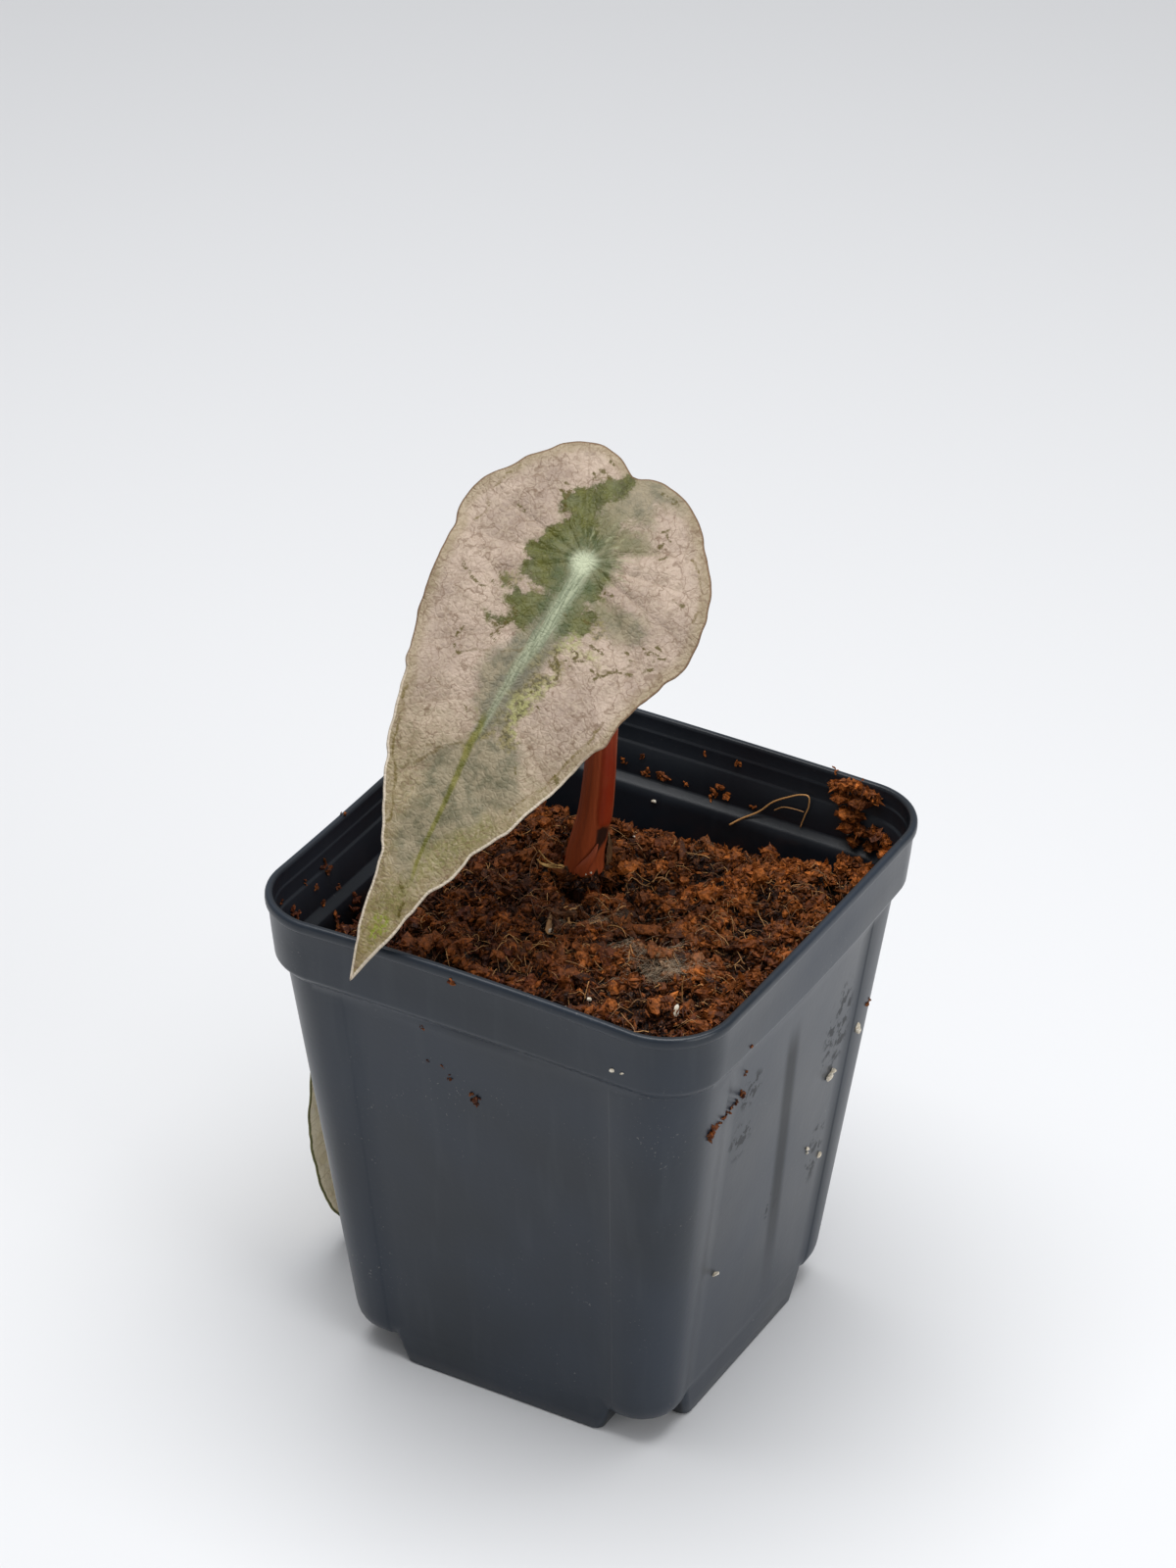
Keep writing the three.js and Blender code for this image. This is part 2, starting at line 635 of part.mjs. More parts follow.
// Closed blade: an upper and a lower face split into triangles alike, joined round the margin
function bladeSolid(leaf) {
  const points = [];
  const slots = new Map();
  const faces = [];
  const vertex = (x, y, ridge, quilt) => {
    const key = `${Math.round(x * 1e4)} ${Math.round(y * 1e4)}`;
    if (!slots.has(key)) {
      const z = bladeHeight(leaf, x, y) + quilt;
      const thinning = y > 0 ? 1 - MIDRIB.taper * (y / leaf.length) : 1;
      const rib = thinning * Math.exp(-((distanceToMidrib(leaf, x, y) / MIDRIB.width) ** 2));
      slots.set(key, points.length);
      points.push(new THREE.Vector3(x, y, z + MIDRIB.lift * rib + ridge));
      points.push(new THREE.Vector3(x, y, z - BLADE_THICKNESS - MIDRIB.depth * rib - ridge));
    }
    return slots.get(key);
  };
  const addTriangle = (a, b, c) => {
    if (a === b || b === c || c === a) return;
    faces.push(a, b, c, a + 1, c + 1, b + 1);
  };
  leaf.margins.forEach((marginPoints, half) => {
    const flip = half === 1;
    const grid = bladeStations(leaf, marginPoints).map(({ spine, margin }, i) => ACROSS.map((share) => {
      const p = spine.clone().lerp(margin, share);
      const swell = Math.sin(Math.PI * share);
      const onVein = i % VEIN.every === 0;
      const between = Math.sin((Math.PI * i) / VEIN.every) ** 2;
      return vertex(p.x, p.y, onVein ? VEIN.ridge * swell : 0, VEIN.quilt * between * swell);
    }));
    for (let i = 0; i + 1 < grid.length; i += 1) {
      for (let k = 0; k + 1 < ACROSS.length; k += 1) {
        const [a, b, c, d] = [grid[i][k], grid[i][k + 1], grid[i + 1][k + 1], grid[i + 1][k]];
        if (flip) {
          addTriangle(a, c, b);
          addTriangle(a, d, c);
        } else {
          addTriangle(a, b, c);
          addTriangle(a, c, d);
        }
      }
      const edge = grid[i][ACROSS.length - 1];
      const next = grid[i + 1][ACROSS.length - 1];
      if (flip) faces.push(edge, next, next + 1, edge, next + 1, edge + 1);
      else faces.push(edge, edge + 1, next + 1, edge, next + 1, next);
    }
  });
  const geometry = new THREE.BufferGeometry().setFromPoints(points);
  geometry.setIndex(faces);
  return geometry;
}

function bladeFrame(leaf) {
  const origin = new THREE.Vector3(...leaf.at);
  const toTip = new THREE.Vector3(...leaf.tip).sub(origin).normalize();
  const across = new THREE.Vector3(...leaf.across);
  across.addScaledVector(toTip, -across.dot(toTip)).normalize();
  const outward = new THREE.Vector3().crossVectors(across, toTip);
  const basis = new THREE.Matrix4().makeBasis(across, toTip, outward);
  return { origin, turn: new THREE.Quaternion().setFromRotationMatrix(basis), outward };
}

function addPiece(group, name, geometry, colour, roughness, frame) {
  geometry.computeVertexNormals();
  const material = new THREE.MeshStandardMaterial({ color: colour, roughness, metalness: 0 });
  const mesh = new THREE.Mesh(geometry, material);
  mesh.name = name;
  if (frame) {
    mesh.position.copy(frame.origin);
    mesh.quaternion.copy(frame.turn);
  }
  group.add(mesh);
}

const plant = new THREE.Group();
addPiece(plant, 'pot', toGeometry(potSolid()), COLOURS.pot, 0.45);
addPiece(plant, 'soil', toGeometry(soilSolid()), COLOURS.soil, 0.95);
addPiece(plant, 'crown', toGeometry(crownSolid()), COLOURS.crown, 0.8);
addPiece(plant, 'stalk', stalkSolid(STALK, BLADE), COLOURS.stalk, 0.4);
addPiece(plant, 'old_stalk', stalkSolid(OLD_STALK, OLD_BLADE), COLOURS.oldStalk, 0.5);
addPiece(plant, 'blade', bladeSolid(BLADE), COLOURS.blade, 0.4, bladeFrame(BLADE));
addPiece(plant, 'old_blade', bladeSolid(OLD_BLADE), COLOURS.oldBlade, 0.5, bladeFrame(OLD_BLADE));

export default plant;
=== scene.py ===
"""Potted alocasia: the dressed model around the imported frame, with camera, floor and light."""
import math

import bmesh
import bpy
import numpy as np
from mathutils import Matrix, Vector


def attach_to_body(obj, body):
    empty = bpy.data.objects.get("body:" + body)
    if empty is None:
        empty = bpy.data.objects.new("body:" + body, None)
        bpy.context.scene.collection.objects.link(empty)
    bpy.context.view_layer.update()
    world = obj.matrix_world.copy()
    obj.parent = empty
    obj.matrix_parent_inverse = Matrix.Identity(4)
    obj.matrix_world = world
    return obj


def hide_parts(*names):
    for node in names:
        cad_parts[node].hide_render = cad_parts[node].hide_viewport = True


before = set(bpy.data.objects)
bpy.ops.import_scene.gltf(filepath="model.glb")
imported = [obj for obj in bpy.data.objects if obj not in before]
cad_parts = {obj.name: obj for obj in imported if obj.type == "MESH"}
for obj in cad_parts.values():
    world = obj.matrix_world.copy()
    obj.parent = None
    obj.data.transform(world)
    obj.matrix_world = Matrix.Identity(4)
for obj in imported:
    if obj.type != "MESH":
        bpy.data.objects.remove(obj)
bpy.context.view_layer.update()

MM = 0.001
VIEW_TURN = math.radians(29)
scene = bpy.context.scene

# Camera: focal length and frame height in pixels, azimuth and elevation in degrees, roll in radians,
# place in metres
FOCAL_PIXELS, FRAME_HEIGHT, SENSOR = 6249.05, 1600, 36
CAMERA_AZIMUTH, CAMERA_ELEVATION, CAMERA_ROLL = 29.126, 32.809, 0.0121
CAMERA_AT = (0.43052, -0.77525, 0.68418)
FLOOR_HALF = 12000.0

# Pot, in millimetres
POT_HEIGHT = 98.5
POT_HALF = 45.0
WALL = 1.3
BODY_TOP = (84.2, 41.6, 10.0)
BODY_BASE = (0.0, 31.6, 6.8)
RIM_RADIUS = 12.7
CORNER_LIFT = 4.6
FOOT_HALF_LENGTH = 20.0
FOOT_FLOOR = 1.4
FOOT_FLARE = 0.35
FOOT_CHAMFER = 1.6
PANEL_SINK = 0.3
PANEL_HALF = (22.3, 26.0)
RIM_BOW = (0.2, 0.3, -0.5, -1.0)
STEP_BOW = (1.1, 0.0, 0.0, 0.1)
DRAIN_RADIUS = 2.6
DRAIN_OFFSET = 25.2
SUNK_IN_WALL = 0.3
# Points along a corner and a side of the pot's rings, and the slope's width at a panel's edge
ARC_STEPS, SIDE_STEPS, PANEL_BEVEL = 16, 14, 0.6
QUADRANTS = ((1, 1), (-1, 1), (-1, -1), (1, -1))

# Soil
SOIL_LEVEL = 87.0
SOIL_RISE = (3.4, -4.6, 40.0)
SOIL_EDGE_DROP = 6.5
SOIL_SHRINK_BACK = 0.45
SOIL_LUMPS = ((1.1, 7.0), (1.0, 3.2))
HOLLOW = (-5.6, 7.2, 4.6, 4.8)
BED_HALF, BED_STEP, STREWN_HALF = 42.4, 0.47, 42.3
SHADE_SPREAD = 0.22
SOIL_SEED, CROWN_SEED = 11, 5
LUMPS_TRIED, LUMPS, CRUMBS, DUST_GRAINS, FOOT_GRAINS = 3200, 1350, 5600, 10500, 420
GRAINS_EACH_BIT = 7
# The loose soil's relief: size of its lumps and the seed of their noise
RELIEF_COARSE, RELIEF_FINE = (4.6, 51), (2.1, 52)

# Stem base and stalks
CROWN = {"x": -9.55, "y": 13.9, "top": 85.7, "bottom": 69.0, "across": 4.1, "along": 5.9, "turn": 106.0}
STALK_ROUTE = [(-8.55, 11.9, 86.25), (-8.4, 11.95, 89), (-7, 12.5, 97), (-5.9, 12.75, 112),
               (-5.5, 13.3, 127), (-7.4, 14.5, 139)]
OLD_STALK_ROUTE = [(-10.3, 17.1, 86.2), (-8.9, 17.8, 97), (-9.6, 18.3, 106.5), (-20, 18.8, 114),
                   (-36, 19.8, 112), (-46.4, 19.8, 103), (-47.2, 19, 96), (-45.2, 17.4, 86),
                   (-42.4, 14.6, 74), (-41.8, 12.4, 63)]
STALK_FOOT, STALK_TOP = (86.25, 3.6), (142.5, 2.0)

# Blades, in their own frames: origin over the stalk, y towards the tip, z out of the upper face
BLADE = {
    "at": (-7.87, 9.56, 150), "tip": (-18.17, -51.72, 96), "across": (-0.966, -0.064, 0.252),
    "margins": [
        [(1, -18), (7, -20.1), (13, -18.3), (18.3, -12.6), (23.4, -4.4), (24, 1.6), (22.3, 10.7),
         (20.5, 20.6), (17.1, 30), (14.3, 39.6), (11.1, 49.2), (6.6, 58.1), (4, 67), (2.2, 75.5),
         (0, 82.3)],
        [(1, -18), (-5, -18.6), (-11, -16.5), (-15.9, -11.6), (-22, -4), (-24.2, 6), (-21.8, 15.7),
         (-20, 25.5), (-17.2, 35.2), (-14.2, 44.8), (-9.9, 53.8), (-6, 62), (-3, 72.5), (0, 82.3)],
    ],
    "midrib": [(0, 0), (0.2, 15), (1.2, 26), (1.5, 37), (0, 48), (-0.9, 60), (-0.5, 73), (0, 82.3)],
    "length": 82.3, "half": 24.2, "arch": 4, "fold": 1.6, "foldFrom": 25, "droop": 1.2,
    "wave": 0.9, "wavelength": 24,
}
OLD_BLADE = {
    "at": (-47.5, 10.7, 53.7), "tip": (-49.4, -3.9, 4.7), "across": (0.03, 1, -0.29),
    "margins": [
        [(0, -14), (6, -15.6), (13, -12.6), (19, -5.5), (21, 4), (20, 15), (16.6, 27), (11.4, 38),
         (5, 47.5), (0, 53)],
        [(0, -14), (-6, -15.4), (-13.4, -12), (-19.4, -4.6), (-21.2, 5), (-20.3, 16), (-18, 27),
         (-12.3, 38.4), (-6.1, 48), (0, 53)],
    ],
    "midrib": [(0, 0), (0.6, 15), (0.4, 35), (0, 53)],
    "length": 53, "half": 21.6, "arch": 1.4, "fold": 0.6, "foldFrom": 18, "droop": 2,
    "wave": 0.7, "wavelength": 19,
}
MIDRIB_DEPTH = 1.5
MIDRIB_WIDTH = 2.6
MIDRIB_LIFT = 0.3
MIDRIB_TAPER = 0.85
BLADE_THICKNESS, BLADE_EDGE, QUILT_DEPTH = 0.55, 0.36, 0.32


# Numbers, noise and meshes

def rgb(red, green, blue):
    """A display colour of 0 to 255 as linear light, with alpha."""
    linear = [((c / 255 + 0.055) / 1.055) ** 2.4 if c > 10 else c / 255 / 12.92 for c in (red, green, blue)]
    return (*linear, 1.0)


def rows(width, *tenths):
    """Rows of numbers that are written down in tenths."""
    return np.array(tenths).reshape(-1, width) / 10


def lattice(ix, iy, iz, seed):
    """A repeatable number between -1 and 1 for each cell of a grid."""
    h = (ix * 374761393 + iy * 668265263 + iz * 1442695041 + seed * 974634777) & 0xFFFFFFFF
    h = ((h ^ (h >> 13)) * 1274126177) & 0xFFFFFFFF
    return ((h ^ (h >> 16)) & 0xFFFF) / 32767.5 - 1.0


def noise(points, scale, seed):
    """Smooth noise between -1 and 1 at points of 2 or 3 columns, one lump per scale."""
    p = np.asarray(points, float) / scale
    if p.shape[1] == 2:
        p = np.column_stack([p, np.zeros(len(p))])
    cell = np.floor(p).astype(np.int64)
    f = p - cell
    f = f * f * (3 - 2 * f)
    total = np.zeros(len(p))
    for corner in range(8):
        dx, dy, dz = corner & 1, corner >> 1 & 1, corner >> 2 & 1
        share = (f[:, 0] if dx else 1 - f[:, 0]) * (f[:, 1] if dy else 1 - f[:, 1])
        share = share * (f[:, 2] if dz else 1 - f[:, 2])
        total += share * lattice(cell[:, 0] + dx, cell[:, 1] + dy, cell[:, 2] + dz, seed)
    return total


def sine_noise(x, y, seed):
    """The part's own value noise, for the same large lumps in the soil."""
    def corner(i, j):
        s = np.sin(i * 127.1 + j * 311.7 + seed * 74.7) * 43758.5453
        return 2 * (s - np.floor(s)) - 1
    i, j = np.floor(x), np.floor(y)
    u, v = x - i, y - j
    u, v = u * u * (3 - 2 * u), v * v * (3 - 2 * v)
    low = corner(i, j) * (1 - u) + corner(i + 1, j) * u
    high = corner(i, j + 1) * (1 - u) + corner(i + 1, j + 1) * u
    return low * (1 - v) + high * v


def mesh_from(name, points, faces, smooth=True):
    """A mesh from points in millimetres and one or more arrays of faces with equal corner counts."""
    arrays = [np.asarray(f) for f in (faces if isinstance(faces, list) else [faces])]
    mesh = bpy.data.meshes.new(name)
    mesh.vertices.add(len(points))
    mesh.vertices.foreach_set("co", (np.asarray(points, float) * MM).ravel())
    loops = np.concatenate([f.ravel() for f in arrays]).astype(np.int32)
    counts = np.concatenate([np.full(len(f), f.shape[1]) for f in arrays])
    starts = np.concatenate([[0], np.cumsum(counts)[:-1]]).astype(np.int32)
    mesh.loops.add(len(loops))
    mesh.loops.foreach_set("vertex_index", loops)
    mesh.polygons.add(len(counts))
    mesh.polygons.foreach_set("loop_start", starts)
    mesh.polygons.foreach_set("use_smooth", np.full(len(counts), smooth))
    mesh.update(calc_edges=True)
    mesh.validate()
    return mesh


def attach(mesh, name, values):
    """One number, or one vector, per point."""
    values = np.asarray(values, np.float32)
    kind, field = ("FLOAT_VECTOR", "vector") if values.ndim == 2 else ("FLOAT", "value")
    data = mesh.attributes.new(name, kind, "POINT").data
    data.foreach_set(field, values.ravel())


def piece(name, mesh, material, slot, replaced=()):
    """An object that rides on the one body, in the place of any CAD nodes named."""
    mesh.materials.clear()
    mesh.materials.append(material)
    made = bpy.data.objects.new(name, mesh)
    scene.collection.objects.link(made)
    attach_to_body(made, "root")
    if replaced:
        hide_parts(*replaced)


def smooth_path(points, per_span):
    """A centripetal Catmull-Rom curve through points."""
    pts = np.array(points, float)
    ends = np.vstack([2 * pts[0] - pts[1], pts, 2 * pts[-1] - pts[-2]])
    out = []
    u = np.linspace(0, 1, per_span, endpoint=False)[:, None]
    for i in range(len(pts) - 1):
        p0, p1, p2, p3 = ends[i:i + 4]
        d0, d1, d2 = (max(np.linalg.norm(b - a), 1e-4) ** 0.5 for a, b in ((p0, p1), (p1, p2), (p2, p3)))
        t1 = ((p1 - p0) / d0 - (p2 - p0) / (d0 + d1) + (p2 - p1) / d1) * d1
        t2 = ((p2 - p1) / d1 - (p3 - p1) / (d1 + d2) + (p3 - p2) / d2) * d1
        out.append((2 * u ** 3 - 3 * u ** 2 + 1) * p1 + (u ** 3 - 2 * u ** 2 + u) * t1
                   + (3 * u ** 2 - 2 * u ** 3) * p2 + (u ** 3 - u ** 2) * t2)
    return np.vstack(out + [pts[-1:]])


def resample(points, count):
    steps = np.r_[0, np.cumsum(np.linalg.norm(np.diff(points, axis=0), axis=1))]
    at = np.linspace(0, steps[-1], count)
    return np.column_stack([np.interp(at, steps, points[:, k]) for k in range(points.shape[1])])


def path_frames(points):
    """Two unit vectors across a path at each point, carried along without twist."""
    tangents = np.gradient(points, axis=0)
    tangents /= np.linalg.norm(tangents, axis=1)[:, None]
    start = np.array([1.0, 0, 0]) if abs(tangents[0][0]) < 0.8 else np.array([0, 1.0, 0])
    firsts = []
    first = start
    for t in tangents:
        first = first - t * (first @ t)
        first = first / np.linalg.norm(first)
        firsts.append(first)
    firsts = np.array(firsts)
    return firsts, np.cross(tangents, firsts)


def skin(rings):
    """Points and faces of a closed skin through rings of equal count."""
    rings = np.asarray(rings)
    levels, count = rings.shape[:2]
    points = rings.reshape(-1, 3)
    k, i = np.meshgrid(np.arange(levels - 1), np.arange(count), indexing="ij")
    a = (k * count + i).ravel()
    b = (k * count + (i + 1) % count).ravel()
    sides = np.column_stack([a, b, b + count, a + count])
    points = np.vstack([points, rings[0].mean(0), rings[-1].mean(0)])
    i = np.arange(count)
    j = (i + 1) % count
    last = (levels - 1) * count
    low, high = levels * count, levels * count + 1
    caps = np.vstack([np.column_stack([np.full(count, low), j, i]),
                      np.column_stack([np.full(count, high), last + i, last + j])])
    return points, [sides, caps]


def tube(path, radius_at, sides, steps=None):
    """A closed tube along a path. radius_at gives the radius for shares of the way."""
    path = resample(np.asarray(path, float), steps) if steps else np.asarray(path, float)
    first, second = path_frames(path)
    share = np.linspace(0, 1, len(path))
    angle = np.arange(sides) / sides * 2 * math.pi
    radius = radius_at(share)[:, None, None] * np.ones((1, sides, 1))
    ring = (np.cos(angle)[None, :, None] * first[:, None] + np.sin(angle)[None, :, None] * second[:, None])
    return skin(path[:, None] + ring * radius)


class Heap:
    """Many small closed shapes gathered into one mesh, with attributes per point."""

    def __init__(self):
        self.points, self.faces, self.marks, self.count = [], {3: [], 4: []}, {}, 0

    def add(self, points, faces, **marks):
        for f in (faces if isinstance(faces, list) else [faces]):
            self.faces[f.shape[1]].append(f + self.count)
        self.points.append(points)
        self.count += len(points)
        for name, value in marks.items():
            self.marks.setdefault(name, []).append(np.broadcast_to(np.asarray(value, float), len(points)))

    def mesh(self, name, smooth):
        faces = [np.vstack(f) for f in self.faces.values() if f]
        made = mesh_from(name, np.vstack(self.points), faces, smooth)
        for mark, values in self.marks.items():
            attach(made, mark, np.concatenate(values))
        return made

    def piece(self, name, smooth, *how):
        piece(name, self.mesh(name, smooth), *how)


# Materials

class Wire:
    """The output of a node. Sums, products and steps of it add the nodes that they need."""

    def __init__(self, look, socket):
        self.look, self.socket = look, socket

    def __add__(self, other):
        return self.look.math("ADD", self, other)

    def __sub__(self, other):
        return self.look.math("SUBTRACT", self, other)

    def __rsub__(self, other):
        return self.look.math("SUBTRACT", other, self)

    def __mul__(self, other):
        return self.look.math("MULTIPLY", self, other)

    def __truediv__(self, other):
        return self.look.math("DIVIDE", self, other)

    def up(self, low, high):
        """A smooth step from 0 at low to 1 at high."""
        return self.look.node("MapRange", {"Value": self, "From Min": low, "From Max": high},
                              interpolation_type="SMOOTHSTEP")

    def down(self, low, high):
        """A smooth step from 1 at low to 0 at high."""
        return 1.0 - self.up(low, high)

    def under(self, *layers):
        """This colour with others laid over it in turn, each given after its share."""
        colour = self
        for share, over in layers:
            colour = self.look.mix(share, colour, over if isinstance(over, Wire) else rgb(*over))
        return colour


class Look:
    """A node material, built by naming nodes and the values or wires of their inputs."""

    def __init__(self, name):
        self.material = bpy.data.materials.new(name)
        self.material.use_nodes = True
        self.tree = self.material.node_tree
        self.tree.nodes.clear()
        self.surface = self.tree.nodes.new("ShaderNodeOutputMaterial").inputs[0]

    def node(self, kind, inputs, output=0, **settings):
        """Adds a node and gives one of its outputs."""
        made = self.tree.nodes.new("ShaderNode" + kind)
        for name, value in settings.items():
            setattr(made, name, value)
        for name, value in inputs.items():
            if isinstance(value, Wire):
                self.tree.links.new(value.socket, made.inputs[name])
            else:
                made.inputs[name].default_value = value
        return Wire(self, made.outputs[output])

    def attribute(self, name, output="Fac"):
        return self.node("Attribute", {}, output, attribute_name=name)

    def place(self):
        """Places on the piece in metres, which stay with it as it moves."""
        return self.node("TexCoord", {}, "Object")

    def math(self, operation, a, b=0.0):
        return self.node("Math", {0: a, 1: b}, operation=operation)

    def mix(self, share, a, b):
        return self.node("Mix", {0: share, 6: a, 7: b}, 2, data_type="RGBA")

    def stretched(self, vector, *scale):
        return self.node("Mapping", {"Vector": vector, "Scale": scale})

    def noise(self, vector, scale, detail, rough=0.55, output="Fac"):
        return self.node("TexNoise", {"Vector": vector, "Scale": scale, "Detail": detail, "Roughness": rough},
                         output)

    def cell_edges(self, vector, scale, loose=1.0):
        """Distance to the edges of scattered cells."""
        return self.node("TexVoronoi", {"Vector": vector, "Scale": scale, "Randomness": loose}, "Distance",
                         feature="DISTANCE_TO_EDGE")

    def bump(self, height, strength, distance, over=None):
        inputs = {"Height": height, "Strength": strength, "Distance": distance}
        if over is not None:
            inputs["Normal"] = over
        return self.node("Bump", inputs)

    def shader(self, **inputs):
        made = self.node("BsdfPrincipled", {name.replace("_", " "): value for name, value in inputs.items()})
        self.tree.links.new(made.socket, self.surface)
        return self.material


# Pot

# Insets of the rim's outer and inner face, each after its depth below the top
OUTER_RIM = ((14.0, 3.1), (13.4, 2.6), (12.6, 1.85), (12.2, 1.62), (12.0, 1.55), (11.6, 1.5), (7, 1.0),
             (2.3, 0.55), (2.1, 0.5), (1.9, 0.2), (1.7, 0.05), (1.2, 0), (0.6, 0.02), (0.25, 0.14),
             (0.05, 0.36), (0.0, 0.5))
INNER_RIM = ((13.7, 4.75), (13.5, 4.6), (13.3, 4.3), (12.5, 3.25), (12.3, 3.05), (12.1, 3.0), (6.5, 2.42),
             (6.35, 2.3), (6.1, 2.02), (6.0, 1.95), (3.3, 1.9), (3.15, 1.84), (2.9, 1.66), (2.8, 1.6),
             (0.6, 1.5), (0.25, 1.4), (0.05, 1.2), (0, 1.1))


def body_at(z):
    """The outer form of the pot's body at a height."""
    t = (z - BODY_BASE[0]) / (BODY_TOP[0] - BODY_BASE[0])
    mixed = [low + (high - low) * t for low, high in zip(BODY_BASE, BODY_TOP)]
    return {"z": z, "half": mixed[1], "radius": mixed[2], "bow": [b * t for b in STEP_BOW],
            "panel": PANEL_HALF[0] + (PANEL_HALF[1] - PANEL_HALF[0]) * t, "sink": 0.0}


def rim_level(depth, inset):
    """The rim's form at a depth below the top, this far inside its widest."""
    share = 1 - depth / 20
    bow = [s + (r - s) * share for s, r in zip(STEP_BOW, RIM_BOW)]
    return {"z": POT_HEIGHT - depth, "half": POT_HALF - inset, "radius": RIM_RADIUS - inset,
            "bow": bow, "panel": 0.0, "sink": 0.0}


def square_ring(level):
    """One level of the pot: a square with round corners, bowed sides and sunk middle panels."""
    half, radius, z = level["half"], level["radius"], level["z"]
    straight = half - radius
    inner = level["panel"] or straight * 0.8
    across = np.linspace(-inner, inner, SIDE_STEPS)
    stops = np.r_[-inner - PANEL_BEVEL, -inner - PANEL_BEVEL * 0.5, across,
                  inner + PANEL_BEVEL * 0.5, inner + PANEL_BEVEL]
    sunk = np.r_[0, 0.5, np.ones(SIDE_STEPS), 0.5, 0] * level["sink"]
    bow_of_side = [level["bow"][k] for k in (1, 2, 3, 0)]
    ring = []
    for side, ((cx, cy), (nx, ny)) in enumerate(zip(QUADRANTS, ((0, 1), (-1, 0), (0, -1), (1, 0)))):
        angle = (side + np.arange(ARC_STEPS + 1) / ARC_STEPS) * math.pi / 2
        ring.append(np.column_stack([cx * straight + radius * np.cos(angle),
                                     cy * straight + radius * np.sin(angle)]))
        t = stops / max(straight, inner + PANEL_BEVEL + 0.2)
        out = half + bow_of_side[side] * (1 - t * t) - sunk
        ring.append(np.column_stack([nx * out - ny * stops, ny * out + nx * stops]))
    flat = np.vstack(ring)
    return np.column_stack([flat, np.full(len(flat), z)])


def pot_outside():
    lifted = ((0, 2.4), (0.2, 1.75), (0.7, 1.0), (1.3, 0.52), (2.2, 0.2), (3.2, 0.05), (4.4, 0))
    levels = []
    for rise, inset in lifted:
        level = body_at(CORNER_LIFT + rise)
        levels.append({**level, "half": level["half"] - inset, "radius": level["radius"] - inset / 2,
                       "sink": PANEL_SINK})
    for z in np.linspace(20, BODY_TOP[0] - 3, 6):
        levels.append({**body_at(z), "sink": PANEL_SINK})
    levels += [{**body_at(BODY_TOP[0] - 1.5), "sink": PANEL_SINK * 0.5}, body_at(BODY_TOP[0])]
    levels += [rim_level(*level) for level in OUTER_RIM]
    return skin([square_ring(level) for level in levels])


def pot_inside():
    levels = []
    for z in (CORNER_LIFT + WALL, 30, 55, BODY_TOP[0] - 1):
        level = body_at(z)
        levels.append({**level, "half": level["half"] - WALL - PANEL_SINK, "radius": level["radius"] - WALL,
                       "panel": 0.0})
    levels += [rim_level(*level) for level in INNER_RIM]
    top = dict(rim_level(0, 1.1), z=POT_HEIGHT + 1)
    return skin([square_ring(level) for level in levels + [top]])


def off_wall(places, inner):
    """How far places lie inside the wall's inner or outer face, and the level way out through it."""
    x, y, z = np.asarray(places, float).T
    rim = INNER_RIM if inner else OUTER_RIM
    depth, inset = np.array(rim[::-1]).T
    body, upper = body_at(z), rim_level(POT_HEIGHT - z, np.interp(POT_HEIGHT - z, depth, inset))
    on_rim = z > POT_HEIGHT - rim[0][0]
    radius = np.where(on_rim, upper["radius"], body["radius"] - (WALL if inner else 0))
    half = np.where(on_rim, upper["half"], body["half"] - (WALL + PANEL_SINK if inner else 0))
    straight = half - radius
    bow = [np.where(on_rim, u, b) for u, b in zip(upper["bow"], body["bow"])]
    sunk = np.where(on_rim | inner, 0, PANEL_SINK)
    past = []
    for to, along, ahead, behind in ((x, y, bow[0], bow[2]), (y, x, bow[1], bow[3])):
        swell = np.where(to > 0, ahead, behind) * np.clip(1 - (along / straight) ** 2, 0, 1)
        past.append(np.abs(to) - straight - (swell - sunk * (np.abs(along) < body["panel"])))
    past = np.column_stack(past)
    corner = np.maximum(past, 0)
    reach = np.linalg.norm(corner, axis=1)
    way = np.where(reach[:, None] > 0, corner / np.maximum(reach, 1e-9)[:, None], np.eye(2)[past.argmax(1)])
    return radius - np.where(reach > 0, reach, past.max(1)), way * np.sign(np.column_stack([x, y]))


def kept_in(points):
    """Points moved back where they would come out through the pot's wall."""
    points = np.array(points, float)
    depth, way = off_wall(points, True)
    points[:, :2] += way * np.minimum(depth + SUNK_IN_WALL, 0)[:, None]
    return points


def on_wall(places, sizes):
    """Places moved to the nearer face of the pot's wall, for bits of the given sizes to stick to it."""
    places, sizes = np.array(places, float), np.asarray(sizes)
    inside, way_in = off_wall(places, True)
    outside, way_out = off_wall(places, False)
    outer = np.abs(outside) < np.abs(inside)
    shift = np.where(outer, outside + 0.12 * sizes, inside - 0.2 * sizes)
    places[:, :2] += np.where(outer[:, None], way_out, way_in) * shift[:, None]
    return places


def foot_bar(along_x, inset, levels):
    """A bar across the base whose two ends are feet. levels holds heights and further insets."""
    rings = []
    for z, less in levels:
        reach = body_at(z)["half"] - PANEL_SINK - inset - less
        width = min(FOOT_HALF_LENGTH + FOOT_FLARE * z, PANEL_HALF[0]) - inset - less
        outline = []
        for quarter, (su, sv) in enumerate(QUADRANTS):
            angle = (quarter + np.linspace(0, 1, 6)) * math.pi / 2
            outline += [(su * (reach - FOOT_CHAMFER) + FOOT_CHAMFER * math.cos(t),
                         sv * (width - FOOT_CHAMFER) + FOOT_CHAMFER * math.sin(t)) for t in angle]
        rings.append([(u, v, z) if along_x else (-v, u, z) for u, v in outline])
    return skin(rings)


def scratch_object(name, shape):
    made = bpy.data.objects.new(name, mesh_from(name, *shape))
    scene.collection.objects.link(made)
    return made


